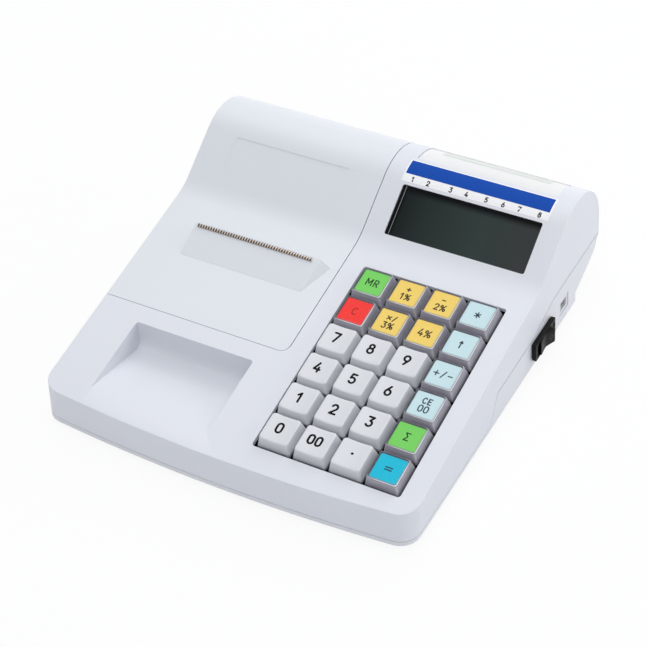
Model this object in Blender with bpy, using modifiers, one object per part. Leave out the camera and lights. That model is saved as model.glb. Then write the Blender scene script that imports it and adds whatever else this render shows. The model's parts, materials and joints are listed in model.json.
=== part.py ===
"""Desktop ticket register with a printer cover, 24 keys, two displays and a power switch.

X runs to the right, Y to the back and Z up. The origin is the middle of the overall box on the
table. All lengths are metres.
"""

import math

import bmesh
import bpy
from mathutils import Matrix, Vector

# Body
body_width = 0.2045
body_depth = 0.2179
front_bow = 0.0050
front_draft = 0.0024
front_height = 0.0180
front_corner_radius = 0.0100
wall = 0.0025
edge_radius = 0.0034
gap = 0.0003
overrun = 0.0200

# Side profile of the body
deck_tilt = math.radians(9.47)
deck_length = 0.1443
face_tilt = math.radians(32.4)
face_length = 0.0559
back_drop = 0.02281
bend_radius = 0.0300
crest_radius = 0.0280
back_radius = 0.0295
tail_length = 0.0293
tail_step = 0.0055
tail_knee_inset = 0.0068
tail_knee_height = 0.0148
tail_height = 0.0232
tail_radius = 0.0120

# Parting line between the housings
parting_front_height = 0.0022
parting_ramp_foot = 0.0886
parting_ramp_head = 0.0966
parting_middle_height = 0.0170
parting_step_start = 0.1360
parting_step_end = 0.1620
parting_rear_height = 0.0235

# Keys
key_pitch = 0.01905
key_columns = 4
key_rows = 6
key_margin_right = 0.01035
key_area_start = 0.0131
key_area_clearance = 0.0009
key_corner_radius = 0.0014
cap_foot = 0.0182
cap_skirt = 0.0032
cap_wall = 0.0011
number_cap_width = 0.0150
number_cap_depth = 0.0152
number_cap_shift = 0.0003
number_cap_height = 0.0045
number_cap_dish = 0.0007
legend_cap_top = 0.0154
legend_cap_height = 0.0038
cap_edge = 0.0005
key_travel = 0.0036
key_stem_radius = 0.0021
key_bore_radius = 0.0025
tower_width = 0.0121
key_plate_thickness = 0.0015
key_plate_margin = 0.0040
key_stop_gap = 0.0008
board_thickness = 0.0016
board_drop = 0.0040

# Display face
display_margin = 0.0006
display_start = 0.0063
display_height = 0.0275
display_corner_radius = 0.0010
window_lip = 0.0020
window_thickness = 0.0015
window_recess = 0.0006
display_panel_thickness = 0.0060
customer_start = 0.0159
customer_end = 0.0370
customer_left_margin = 0.0007
customer_right_reach = 0.0003
customer_panel_thickness = 0.0050
customer_panel_height = 0.0110

# Coin tray
tray_start = 0.0127
tray_length = 0.0440
tray_depth = 0.0160
tray_back_slant = 0.0030
tray_margin_left = 0.0247
tray_margin_right = 0.0126
tray_radius = 0.0040
tray_corner_radius = 0.0020

# Printer cover
seam_margin = 0.0109
cover_start = 0.0670
cover_corner_radius = 0.0048
cover_rear_height = 0.0450
cover_post = 0.0170
cover_lip_depth = 0.0040
cover_lip_thickness = 0.0015
wedge_start = 0.1032
wedge_length = 0.0186
wedge_rise = 0.0046
wedge_margin_left = 0.0225
wedge_margin_right = 0.0115
wedge_flare = 0.0070
wedge_flare_left = 0.0020
wedge_toe = 0.0001
slot_depth = 0.0030
slot_margin = 0.0040
hinge_radius = 0.0022
hinge_pin_radius = 0.0009
hinge_knuckle = 0.0080
hinge_inset = 0.0180
label_seat_margin = 0.0185
label_seat_width = 0.0675
label_seat_start = 0.0110
label_seat_length = 0.0226
label_seat_depth = 0.00025
label_seat_radius = 0.0010

# Tear bar
bar_thickness = 0.0006
bar_depth = 0.0014
bar_setback = 0.0013
bar_margin = 0.0015
tooth_pitch = 0.0015
tooth_height = 0.0010

# Power switch and sockets on the right side
switch_rear = 0.0600
switch_length = 0.0232
switch_height = 0.0106
switch_bottom = 0.0049
bezel_width = 0.0006
bezel_stand = 0.0024
switch_body_depth = 0.0150
switch_body_wall = 0.0006
rocker_tilt = math.radians(-9.0)
rocker_rise = 0.0003
rocker_depth = 0.0050
rocker_pivot_depth = 0.0022
rocker_foot_share = 0.9
rocker_room_depth = 0.0010
jack_rear = 0.0386
jack_length = 0.0100
jack_height = 0.0085
jack_bottom = 0.0052
jack_depth = 0.0120
jack_hole_margin = 0.0016
jack_hole_depth = 0.0080
inlet_margin_right = 0.0300
inlet_width = 0.0100
inlet_height = 0.0100
inlet_bottom = 0.0260
inlet_depth = 0.0130
inlet_hole_radius = 0.0032
inlet_hole_depth = 0.0090
inlet_pin_radius = 0.0008

# Lower housing
boss_radius = 0.0035
boss_hole_radius = 0.0013
boss_inset_x = 0.0122
boss_front = 0.0176
boss_rear = 0.0054
rear_boss_top = 0.0385
screw_head_radius = 0.0026
screw_head_depth = 0.0012
foot_radius = 0.0060
foot_height = 0.0030
foot_edge = 0.0006
foot_seat = 0.0008
foot_inset_x = 0.0160
foot_front = 0.0360
foot_rear = 0.0400
standoff_radius = 0.0025
standoff_height = 0.0060
main_board_width = 0.0660
main_board_depth = 0.0420
main_board_rear = 0.0330
main_board_inset = 0.0040

# Bay for the printer
bay_wall = 0.0018
bay_wall_end = 0.0385

# Printer mechanism and paper
chassis_margin = 0.0030
chassis_sheet = 0.0015
chassis_base = 0.0020
chassis_front = 0.0280
chassis_end = 0.0060
chassis_lift = 0.0020
platen_radius = 0.0060
platen_shaft_radius = 0.0020
platen_rear = 0.0030
platen_drop = 0.0110
roll_room = 0.0035
roll_margin = 0.007125
roll_rear = 0.0300
roll_height = 0.0365
spindle_radius = 0.0055
arm_width = 0.0140
motor_radius = 0.0095
motor_length = 0.0160
gearbox_thickness = 0.0045
gearbox_height = 0.0160
head_thickness = 0.0035
head_height = 0.0120

# Places that follow from the sizes


def rocker_outline():
    """The rocker seen from above about its pivot: X outward, Y to the back, before it is tilted."""
    half = switch_length / 2 - bezel_width - switch_body_wall - 5 * gap
    face = rocker_pivot_depth + bezel_stand + rocker_rise
    rise = half * math.tan(abs(rocker_tilt))
    return [(face, 0), (face + rise, half), (gap, half * rocker_foot_share), (-rocker_depth / 2, 0),
            (gap, -half * rocker_foot_share), (face + rise, -half)]


rocker_stand = max((Matrix.Rotation(rocker_tilt, 2) @ Vector(point)).x for point in rocker_outline())
rocker_stand -= rocker_pivot_depth
centre_x = -rocker_stand / 2
left = centre_x - body_width / 2
right = centre_x + body_width / 2
front = -body_depth / 2
rear = body_depth / 2
base = foot_height
key_area_width = key_columns * key_pitch + 2 * key_area_clearance
key_area_length = key_rows * key_pitch + 2 * key_area_clearance
key_right = right - key_margin_right
key_left = key_right - key_area_width
key_middle = (key_left + key_right) / 2
seam = key_left - seam_margin
deck_front = Vector((front + front_draft, base + front_height))
deck_along = Vector((math.cos(deck_tilt), math.sin(deck_tilt)))
face_along = Vector((math.cos(face_tilt), math.sin(face_tilt)))
bend = deck_front + deck_along * deck_length
crest = bend + face_along * face_length
back_corner_height = crest.y - back_drop
back_tilt = math.atan2(back_drop, rear - crest.x)
crest_reach_share = math.tan((face_tilt + back_tilt) / 2)
crest_start = crest - face_along * crest_radius * crest_reach_share
crest_centre = crest_start + Vector((face_along.y, -face_along.x)) * crest_radius
back_reach_share = math.tan((math.pi / 2 - back_tilt) / 2)
tail_turn = math.atan2(tail_knee_inset, tail_height - tail_knee_height)
tail_top = base + tail_height + tail_radius / 2 * math.tan(tail_turn / 2)
back_round = min(back_radius, (back_corner_height - tail_top) / back_reach_share)
back_centre = Vector((rear - back_round, back_corner_height - back_round * back_reach_share))
hinge_z = base + cover_rear_height
hinge_y = back_centre.x + math.sqrt(back_round**2 - (hinge_z - back_centre.y)**2)
roll_centre = Vector((rear - roll_rear, base + roll_height))
roll_under_face = (roll_centre - bend).cross(face_along)
roll_under_crest = crest_radius - (roll_centre - crest_centre).length
roll_under_back = back_round - (roll_centre - back_centre).length
roll_over_floor = roll_centre.y - base - chassis_lift - chassis_base
tail_start = Vector((rear - tail_length, base + tail_step))
tail_along = (Vector((rear - tail_knee_inset, base + tail_knee_height)) - tail_start).normalized()
roll_over_tail = tail_along.cross(roll_centre - tail_start)
roll_room_about = min(roll_under_face, roll_under_crest, roll_under_back, roll_over_floor, roll_over_tail)
roll_radius = roll_room_about - wall - roll_room
roll_width = seam - left - wedge_margin_left - wedge_margin_right - 2 * roll_margin

ARC_STEPS = {"edge": 3, "corner": 5, "crest": 10, "back": 8}


# Scene and materials


def clear_scene():
    """Empties the scene of whatever it holds."""
    for obj in list(bpy.data.objects):
        bpy.data.objects.remove(obj, do_unlink=True)


clear_scene()
parts = bpy.data.collections.new("ticket_register")
cutters = bpy.data.collections.new("cutters")
bpy.context.scene.collection.children.link(parts)
bpy.context.scene.collection.children.link(cutters)


def material(name, red, green, blue, roughness, metallic=0.0):
    """A plain Principled material of one colour."""
    new = bpy.data.materials.new(name)
    new.use_nodes = True
    shader = new.node_tree.nodes["Principled BSDF"]
    shader.inputs["Base Color"].default_value = (red, green, blue, 1)
    shader.inputs["Roughness"].default_value = roughness
    shader.inputs["Metallic"].default_value = metallic
    return new


# Mesh helpers


def add_object(name, mesh, collection=None):
    """Links a mesh as a new object."""
    obj = bpy.data.objects.new(name, mesh)
    (collection or cutters).objects.link(obj)
    if collection is None:
        obj.hide_render = True
        obj.display_type = "WIRE"
    return obj


def mesh_from(bm, name):
    """Writes a bmesh to a new mesh, its faces pointing out."""
    bmesh.ops.recalc_face_normals(bm, faces=bm.faces)
    mesh = bpy.data.meshes.new(name)
    bm.to_mesh(mesh)
    bm.free()
    return mesh


def evaluated_mesh(obj, name):
    """The mesh of an object with its modifiers and its place applied."""
    bpy.context.view_layer.update()
    graph = bpy.context.evaluated_depsgraph_get()
    mesh = bpy.data.meshes.new_from_object(obj.evaluated_get(graph))
    mesh.transform(obj.matrix_world)
    mesh.name = name
    return mesh


def bake(obj, flat=True):
    """Turns an object with modifiers into a plain mesh object, with flat areas as single faces."""
    mesh = evaluated_mesh(obj, obj.name)
    name = obj.name
    bpy.data.objects.remove(obj, do_unlink=True)
    bm = bmesh.new()
    bm.from_mesh(mesh)
    bmesh.ops.remove_doubles(bm, verts=bm.verts, dist=gap / 60)
    if flat:
        bmesh.ops.dissolve_limit(bm, angle_limit=math.radians(0.4), verts=bm.verts, edges=bm.edges)
    return add_object(name, mesh_from(bm, name))


def slab(name, outline, thickness, matrix=None):
    """A flat outline given thickness, as a filled curve made a mesh; its middle is the XY plane."""
    curve = bpy.data.curves.new(name, "CURVE")
    curve.dimensions = "2D"
    curve.fill_mode = "BOTH"
    curve.extrude = thickness / 2
    spline = curve.splines.new("POLY")
    spline.points.add(len(outline) - 1)
    for point, (across, along) in zip(spline.points, outline):
        point.co = (across, along, 0, 1)
    spline.use_cyclic_u = True
    obj = add_object(name, curve)
    obj.matrix_world = matrix or Matrix()
    return bake(obj)


def side_slab(name, outline, start, end):
    """An outline of Y and Z places that runs from one X place to another."""
    turn = Matrix(((0, 0, 1), (1, 0, 0), (0, 1, 0))).to_4x4()
    return slab(name, outline, end - start, Matrix.Translation(((start + end) / 2, 0, 0)) @ turn)


def plan_slab(name, outline, bottom, top):
    """An outline of X and Y places that runs from one height to another."""
    return slab(name, outline, top - bottom, Matrix.Translation((0, 0, (bottom + top) / 2)))


def box(name, size, matrix):
    """A box about its middle."""
    bm = bmesh.new()
    bmesh.ops.create_cube(bm, size=1, matrix=Matrix.Diagonal((*size, 1)))
    bmesh.ops.transform(bm, matrix=matrix, verts=bm.verts)
    return add_object(name, mesh_from(bm, name))


def world_box(name, low, high):
    """A box from its low corner to its high corner."""
    low, high = Vector(low), Vector(high)
    return box(name, high - low, Matrix.Translation((low + high) / 2))


def rod(name, radius, start, end, sides=16):
    """A cylinder between two points."""
    start, end = Vector(start), Vector(end)
    along = end - start
    turn = Vector((0, 0, 1)).rotation_difference(along).to_matrix().to_4x4()
    bm = bmesh.new()
    bmesh.ops.create_cone(
        bm, cap_ends=True, segments=sides, radius1=radius, radius2=radius, depth=along.length,
        matrix=Matrix.Translation((start + end) / 2) @ turn)
    return add_object(name, mesh_from(bm, name))


def boolean(obj, other, operation):
    """Adds a Boolean modifier."""
    step = obj.modifiers.new(operation.lower(), "BOOLEAN")
    step.operation = operation
    step.object = other
    step.solver = "EXACT"


def cut(obj, *others):
    """Takes other solids away from an object."""
    for other in others:
        boolean(obj, other, "DIFFERENCE")


def join(obj, *others):
    """Fuses other solids with an object."""
    for other in others:
        boolean(obj, other, "UNION")


def keep(obj, *others):
    """Keeps what an object shares with other solids."""
    for other in others:
        boolean(obj, other, "INTERSECT")


def finish(obj, look, smooth=None, origin=(0, 0, 0)):
    """Bakes a finished object into the parts collection, with its material and its origin."""
    name = obj.name
    obj.name = name + "_raw"
    mesh = evaluated_mesh(obj, name)
    bpy.data.objects.remove(obj, do_unlink=True)
    bm = bmesh.new()
    bm.from_mesh(mesh)
    bmesh.ops.remove_doubles(bm, verts=bm.verts, dist=gap / 60)
    bmesh.ops.dissolve_limit(bm, angle_limit=math.radians(0.2), verts=bm.verts, edges=bm.edges)
    bmesh.ops.triangulate(bm, faces=[face for face in bm.faces if len(face.verts) > 4])
    mesh = mesh_from(bm, name)
    if smooth:
        mesh.shade_smooth()
        mesh.set_sharp_from_angle(angle=smooth)
    mesh.materials.clear()
    mesh.materials.append(look)
    mesh.transform(Matrix.Translation(-Vector(origin)))
    new = add_object(name, mesh, parts)
    new.location = origin
    return new


# Outline helpers


def grown(corners, amount):
    """Moves each side of an outline of (a, b, radius) corners outward by an amount."""
    area = sum(a[0] * b[1] - b[0] * a[1] for a, b in zip(corners, corners[1:] + corners[:1]))
    sign = 1 if area > 0 else -1
    moved = []
    for before, here, after in zip(corners[-1:] + corners[:-1], corners, corners[1:] + corners[:1]):
        first = (Vector(here[:2]) - Vector(before[:2])).normalized()
        second = (Vector(after[:2]) - Vector(here[:2])).normalized()
        out_first = Vector((first.y, -first.x)) * sign
        out_second = Vector((second.y, -second.x)) * sign
        turn = first.cross(second) * sign
        place = Vector(here[:2]) + (out_first + out_second) * amount / (1 + out_first.dot(out_second))
        radius = here[2]
        if radius:
            radius = max(radius + (amount if turn > 0 else -amount), gap)
        moved.append((place.x, place.y, radius))
    return moved


def rounded(corners, steps):
    """The points of an outline whose corners (a, b, radius) are rounded."""
    points = []
    for before, here, after in zip(corners[-1:] + corners[:-1], corners, corners[1:] + corners[:1]):
        corner, radius = Vector(here[:2]), here[2]
        if not radius:
            points.append(tuple(corner))
            continue
        first = (Vector(before[:2]) - corner).normalized()
        second = (Vector(after[:2]) - corner).normalized()
        half = first.angle(second) / 2
        reach = radius / math.tan(half)
        centre = corner + (first + second).normalized() * radius / math.sin(half)
        start = corner + first * reach - centre
        sweep = (corner + second * reach - centre).angle_signed(start)
        for step in range(steps + 1):
            angle = sweep * step / steps
            points.append(tuple(centre + Matrix.Rotation(angle, 2) @ start))
    return points


# Places on the tilted surfaces


def deck_frame(x, along, height=0):
    """The place and turn at a distance up the deck and a height over it."""
    point = deck_front + deck_along * along
    turn = Matrix.Rotation(deck_tilt, 4, "X")
    return Matrix.Translation((x, point.x, point.y)) @ turn @ Matrix.Translation((0, 0, height))


def face_frame(x, along, height=0):
    """The place and turn at a distance up the display face and a height over it."""
    point = bend + face_along * along
    turn = Matrix.Rotation(face_tilt, 4, "X")
    return Matrix.Translation((x, point.x, point.y)) @ turn @ Matrix.Translation((0, 0, height))


def crest_frame(x, along, height=0):
    """The place and turn at a distance round the crest's arc from its start, and a height over it."""
    turn = Matrix.Rotation(face_tilt - along / crest_radius, 4, "X")
    middle = Matrix.Translation((x, crest_centre.x, crest_centre.y))
    return middle @ turn @ Matrix.Translation((0, 0, crest_radius + height))


def on_deck(along, height):
    """Y and Z of a place over the deck."""
    spot = deck_frame(0, along, height).translation
    return spot.y, spot.z


def on_face(along, height):
    """Y and Z of a place over the display face."""
    spot = face_frame(0, along, height).translation
    return spot.y, spot.z


def on_crest(along, height):
    """Y and Z of a place over the crest's arc."""
    spot = crest_frame(0, along, height).translation
    return spot.y, spot.z


# Body form


def body_corners():
    """The body's side outline, with the deck run out past the front."""
    ahead = deck_front - deck_along * overrun
    return [
        (ahead.x, base, 0),
        (ahead.x, ahead.y, 0),
        (bend.x, bend.y, bend_radius),
        (crest.x, crest.y, crest_radius),
        (rear, back_corner_height, back_round),
        (rear, base + tail_height, tail_radius / 2),
        (rear - tail_knee_inset, base + tail_knee_height, tail_radius),
        (rear - tail_length, base + tail_step, 0),
        (rear - tail_length, base, 0),
    ]


OUTLINE_ARCS = ["edge", "edge", "corner", "crest", "back", "edge", "edge", "edge", "edge"]


def side_outline(inset, bottom=None):
    """The body's side outline, moved in, with as many arc points as each curve needs."""
    corners = grown(body_corners(), -inset)
    if bottom is not None:
        corners[0] = (corners[0][0], bottom, 0)
        corners[-1] = (corners[-1][0], bottom, 0)
    points = []
    for index, corner in enumerate(corners):
        trio = [corners[index - 1], corner, corners[(index + 1) % len(corners)]]
        steps = ARC_STEPS[OUTLINE_ARCS[index]]
        arc = rounded([(*trio[0][:2], 0), trio[1], (*trio[2][:2], 0)], steps)
        points += arc[1:-1]
    return points


def plan_outline(inset):
    """The body's outline from above, its front bowed, moved in by an amount."""
    half = body_width / 2 - inset
    ends = front + front_bow + inset
    corner = front_corner_radius - inset
    count = 12
    points = []
    side_turn = math.atan(2 * front_bow / (body_width / 2))
    reach = half - corner + corner * math.sin(side_turn)
    for step in range(count + 1):
        across = reach * (2 * step / count - 1)
        drop = front_bow * (1 - (across / (body_width / 2))**2)
        points.append((centre_x + across, ends - drop))
    curve_end = points[-1]
    first_angle = -math.pi / 2 + side_turn
    centre = (curve_end[0] - corner * math.cos(first_angle), curve_end[1] - corner * math.sin(first_angle))
    steps = ARC_STEPS["corner"]
    right_arc = []
    for step in range(1, steps + 1):
        angle = first_angle + (0 - first_angle) * step / steps
        right_arc.append((centre[0] + corner * math.cos(angle), centre[1] + corner * math.sin(angle)))
    left_arc = [(2 * centre_x - x, y) for x, y in reversed(right_arc)]
    width_end = right_arc[-1][0]
    top = rear - inset + overrun
    return left_arc + points + right_arc + [(width_end, top), (2 * centre_x - width_end, top)]


def body_solid(name, inset, bottom, rounded_edges=False):
    """The body as a solid, or its inner volume when moved in."""
    top = crest.y + overrun
    plan = plan_slab(name + "_plan", plan_outline(inset), bottom - overrun, top)
    lean = front_draft / front_height
    for vertex in plan.data.vertices:
        if vertex.co.y < front + front_corner_radius + front_bow:
            vertex.co.y += lean * (vertex.co.z - base)
    side = side_slab(name + "_side", side_outline(inset, bottom), left - overrun, right + overrun)
    keep(plan, side)
    solid = bake(plan)
    if rounded_edges:
        round_edges(solid)
    solid.name = name
    return solid


def round_edges(solid):
    """Rounds the body's sharp edges, but not those round its underside."""
    bm = bmesh.new()
    bm.from_mesh(solid.data)
    sharp = []
    for edge in bm.edges:
        low = min(vertex.co.z for vertex in edge.verts)
        middle = (edge.verts[0].co + edge.verts[1].co) / 2
        ahead = low > base + gap and middle.y < rear - tail_length - wall
        if (ahead or low > base + tail_height - gap) and edge.calc_face_angle(0) > math.radians(25):
            sharp.append(edge)
    bmesh.ops.bevel(bm, geom=sharp, offset=edge_radius, segments=ARC_STEPS["edge"], profile=0.5,
                    affect="EDGES", clamp_overlap=True)
    bmesh.ops.remove_doubles(bm, verts=bm.verts, dist=gap / 60)
    bm.to_mesh(solid.data)
    bm.free()


def copy_of(solid, name):
    """A new object on a solid's mesh."""
    return add_object(name, solid.data.copy())


def parting_outline(amount):
    """The side outline of all that lies under the parting line."""
    corners = [
        (front - overrun, base - overrun, 0),
        (front - overrun, base + parting_front_height, 0),
        (front + parting_ramp_foot, base + parting_front_height, 0),
        (front + parting_ramp_head, base + parting_middle_height, 0),
        (front + parting_step_start, base + parting_middle_height, 0),
        (front + parting_step_end, base + parting_rear_height, 0),
        (rear + overrun, base + parting_rear_height, 0),
        (rear + overrun, base - overrun, 0),
    ]
    return [corner[:2] for corner in grown(corners, amount)]


def cover_zone(name, amount):
    """The space that the printer cover fills, grown by an amount.

    Its front edge leans back below the deck, so that it swings clear of the housing."""
    start = on_deck(cover_start, 0)[0]
    plan = [
        (left - overrun, start, 0),
        (seam, start, cover_corner_radius),
        (seam, rear + overrun, 0),
        (left - overrun, rear + overrun, 0),
    ]
    top = crest.y + overrun
    above = plan_slab(name, rounded(grown(plan, amount), ARC_STEPS["crest"]), base, top)
    post = rear - cover_post
    middle_edge = base + parting_middle_height + gap
    rear_edge = base + parting_rear_height + gap
    edge_y, edge_z = on_deck(cover_start, gap)
    swing = math.hypot(edge_y - hinge_y, edge_z - hinge_z)
    foot_y = hinge_y - math.sqrt(swing**2 - (middle_edge - hinge_z)**2)
    side = [
        (edge_y, edge_z, 0),
        (foot_y, middle_edge, 0),
        (front + parting_step_start, middle_edge, 0),
        (front + parting_step_end, rear_edge, 0),
        (post, rear_edge, 0),
        (post, hinge_z, 0),
        (rear + 2 * overrun, hinge_z, 0),
        (rear + 2 * overrun, top + overrun, 0),
        (front, top + overrun, 0),
    ]
    outline = [corner[:2] for corner in grown(side, amount)]
    keep(above, side_slab(name + "_side", outline, left - 2 * overrun, right + 2 * overrun))
    return bake(above)


def skin_band(name, outer, inner, start, end):
    """A strip under the body's skin, between two depths."""
    band = side_slab(name, side_outline(outer), start, end)
    cut(band, side_slab(name + "_inner", side_outline(inner), start - overrun, end + overrun))
    return bake(band)


def tapered_box(name, low_size, high_size, low, high, shift=0):
    """A box whose top has another size than its bottom, on the Z axis."""
    bm = bmesh.new()
    bmesh.ops.create_cube(bm, size=1)
    for vertex in bm.verts:
        size = high_size if vertex.co.z > 0 else low_size
        lift = high if vertex.co.z > 0 else low
        push = shift if vertex.co.z > 0 else 0
        vertex.co = (vertex.co.x * size[0], vertex.co.y * size[1] + push, lift)
    return add_object(name, mesh_from(bm, name))


def rounded_rectangle(width, height, radius):
    """A rectangle's outline about its middle, with round corners."""
    corners = [(-width / 2, -height / 2, radius), (width / 2, -height / 2, radius),
               (width / 2, height / 2, radius), (-width / 2, height / 2, radius)]
    return rounded(corners, ARC_STEPS["edge"])


# Keys


def key_spot(row, column):
    """Across and along places of a key, rows counted from the back."""
    across = key_middle + (column - (key_columns - 1) / 2) * key_pitch
    along = key_area_start + key_area_length / 2 + ((key_rows - 1) / 2 - row) * key_pitch
    return across, along


plate_height = -(cap_skirt + key_travel + key_stop_gap)
stem_end = plate_height + gap


def hollow_cap(cap, top_size, ceiling, shift):
    """Hollows a cap from below and gives it its stem."""
    inner_low = (cap_foot - 2 * cap_wall, cap_foot - 2 * cap_wall)
    inner_high = (top_size[0] - 2 * cap_wall, top_size[1] - 2 * cap_wall)
    cut(cap, tapered_box(cap.name + "_hollow", inner_low, inner_high, -cap_skirt, ceiling, shift))
    cap = bake(cap)
    join(cap, rod(cap.name + "_stem", key_stem_radius, (0, 0, stem_end), (0, 0, ceiling + cap_wall / 2), 8))
    return cap


def soften_top(cap, width):
    """Rounds the upper edges of a cap."""
    bm = bmesh.new()
    bm.from_mesh(cap.data)
    edges = [edge for edge in bm.edges if max(vertex.co.z for vertex in edge.verts) > -cap_skirt + gap]
    bmesh.ops.bevel(bm, geom=edges, offset=width, segments=1, affect="EDGES")
    bm.to_mesh(cap.data)
    bm.free()


def number_cap():
    """A moulded cap with a dished top."""
    foot = (cap_foot, cap_foot)
    top = (number_cap_width, number_cap_depth)
    cap = tapered_box("number_cap", foot, top, -cap_skirt, number_cap_height, number_cap_shift)
    soften_top(cap, cap_edge)
    dish = (number_cap_width**2 / 4 + number_cap_dish**2) / (2 * number_cap_dish)
    middle = number_cap_height - number_cap_dish + dish
    cut(cap, rod("dish", dish, (0, -cap_foot, middle), (0, cap_foot, middle), 80))
    ceiling = number_cap_height - number_cap_dish - cap_wall
    return hollow_cap(bake(cap), top, ceiling, number_cap_shift)


def legend_cap():
    """A cap with a flat clear top that holds a coloured insert."""
    top = (legend_cap_top, legend_cap_top)
    cap = tapered_box("legend_cap", (cap_foot, cap_foot), top, -cap_skirt, legend_cap_height)
    soften_top(cap, cap_edge)
    return hollow_cap(bake(cap), top, legend_cap_height - cap_wall, 0)


def make_keys():
    """All caps, one object each, on their places on the deck."""
    number = evaluated_mesh(number_cap(), "number_cap")
    legend = evaluated_mesh(legend_cap(), "legend_cap")
    looks = {
        "number": material("cap_grey", 0.70, 0.70, 0.69, 0.45),
        "green": material("insert_green", 0.10, 0.55, 0.12, 0.30),
        "red": material("insert_red", 0.80, 0.05, 0.05, 0.30),
        "yellow": material("insert_yellow", 0.85, 0.68, 0.22, 0.30),
        "blue": material("insert_pale_blue", 0.60, 0.78, 0.84, 0.30),
        "cyan": material("insert_cyan", 0.05, 0.60, 0.72, 0.30),
    }
    for row, names in enumerate(KEY_NAMES):
        for column, (name, look) in enumerate(names):
            mesh = (number if look == "number" else legend).copy()
            clean = bmesh.new()
            clean.from_mesh(mesh)
            bmesh.ops.remove_doubles(clean, verts=clean.verts, dist=gap / 60)
            bmesh.ops.triangulate(clean, faces=[face for face in clean.faces if len(face.verts) > 4])
            mesh = mesh_from(clean, "key_" + name)
            mesh.materials.append(looks[look])
            cap = add_object("key_" + name, mesh, parts)
            across, along = key_spot(row, column)
            cap.matrix_world = deck_frame(across, along)


KEY_NAMES = [
    [("register", "green"), ("add", "yellow"), ("subtract", "yellow"), ("star", "blue")],
    [("clear", "red"), ("tax_3", "yellow"), ("tax_4", "yellow"), ("feed", "blue")],
    [("7", "number"), ("8", "number"), ("9", "number"), ("repeat", "blue")],
    [("4", "number"), ("5", "number"), ("6", "number"), ("refund", "blue")],
    [("1", "number"), ("2", "number"), ("3", "number"), ("subtotal", "green")],
    [("0", "number"), ("00", "number"), ("point", "number"), ("total", "cyan")],
]


def make_key_base():
    """The plate with a switch tower under each key, and the circuit board under it."""
    dark = material("key_base_black", 0.03, 0.03, 0.035, 0.55)
    middle = key_area_start + key_area_length / 2
    width = key_area_width + 2 * key_plate_margin
    length = key_area_length + 2 * key_plate_margin
    plate = box("key_base", (width, length, key_plate_thickness),
                deck_frame(key_middle, middle, plate_height - key_plate_thickness / 2))
    ceiling = min(legend_cap_height, number_cap_height - number_cap_dish) - cap_wall
    tower_top = ceiling - key_travel - gap
    for row in range(key_rows):
        for column in range(key_columns):
            frame = deck_frame(*key_spot(row, column))
            tall = tower_top - plate_height + key_plate_thickness / 2
            tower = box("tower", (tower_width, tower_width, tall),
                        frame @ Matrix.Translation((0, 0, tower_top - tall / 2)))
            join(plate, tower)
    plate = bake(plate)
    for row in range(key_rows):
        for column in range(key_columns):
            frame = deck_frame(*key_spot(row, column))
            cut(plate, rod("bore", key_bore_radius, frame @ Vector((0, 0, tower_top + gap)),
                           frame @ Vector((0, 0, plate_height - 2 * key_plate_thickness)), 10))
    board_top = plate_height - key_plate_thickness - board_drop
    for x, along in post_places():
        frame = deck_frame(x, along)
        start = frame @ Vector((0, 0, plate_height - key_plate_thickness / 2))
        join(plate, rod("spacer", boss_hole_radius, start, frame @ Vector((0, 0, board_top + gap)), 8))
    finish(plate, dark)
    green = material("board_green", 0.02, 0.16, 0.07, 0.40)
    board = box("keyboard_board", (width, length, board_thickness),
                deck_frame(key_middle, middle, board_top - board_thickness / 2))
    finish(board, green)
    return green


def post_places():
    """Where posts of the housing carry the key base, at its corners and half way."""
    inset = key_plate_margin / 2
    near = key_area_start - inset
    far = key_area_start + key_area_length + inset
    sides = (key_left - inset, key_right + inset)
    return [(x, along) for x in sides for along in (near, (near + far) / 2, far)]


# Displays


def region_round_crest(name, near, far, start, end):
    """A block through the crest's skin, between two distances round its arc."""
    middle = (near + far) / 2
    outline = [
        on_crest(near, -window_reach),
        on_crest(near, overrun),
        on_crest(middle, 2 * overrun),
        on_crest(far, overrun),
        on_crest(far, -window_reach),
    ]
    return side_slab(name, outline, start, end)


window_reach = wall + window_thickness + 4 * gap


def make_displays():
    """The display window and module, and the customer's window and module."""
    lens = material("display_lens", 0.02, 0.025, 0.02, 0.08)
    smoke = material("customer_lens", 0.55, 0.57, 0.55, 0.12)
    panel = material("panel_grey", 0.20, 0.22, 0.20, 0.50)
    width = key_area_width - 2 * display_margin
    along = display_start + display_height / 2
    under = -(wall + gap + window_thickness / 2)
    size = (width + 2 * window_lip, display_height + 2 * window_lip, window_thickness)
    window = box("display_window", size, face_frame(key_middle, along, under))
    raised = wall + gap - window_recess + window_thickness / 2
    step = rounded_rectangle(width - 2 * gap, display_height - 2 * gap, display_corner_radius - gap)
    join(window, slab("window_step", step, raised, face_frame(key_middle, along, under + raised / 2)))
    finish(window, lens)
    depth = wall + 2 * gap + window_thickness + display_panel_thickness / 2
    finish(box("display_module", (width, display_height, display_panel_thickness),
               face_frame(key_middle, along, -depth)), panel)
    start, end = customer_span()
    strip = skin_band("customer_window", wall + gap, wall + gap + window_thickness, start - window_lip,
                      end + window_lip)
    keep(strip, region_round_crest("strip_span", customer_start - window_lip, customer_end + window_lip,
                                   start - overrun, end + overrun))
    finish(strip, smoke, math.radians(30))
    under_strip = crest_radius - wall - 2 * gap - window_thickness
    panel_top = math.sqrt(under_strip**2 - customer_panel_height**2 / 4)
    deep = crest_radius - panel_top + customer_panel_thickness / 2
    finish(box("customer_module", (end - start, customer_panel_height, customer_panel_thickness),
               crest_frame((start + end) / 2, customer_end - customer_panel_height / 2, -deep)), panel)


def customer_span():
    """Left and right ends of the customer's window."""
    return key_left + customer_left_margin, key_right + customer_right_reach


# Printer cover, with its hinge and its tear bar


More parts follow.
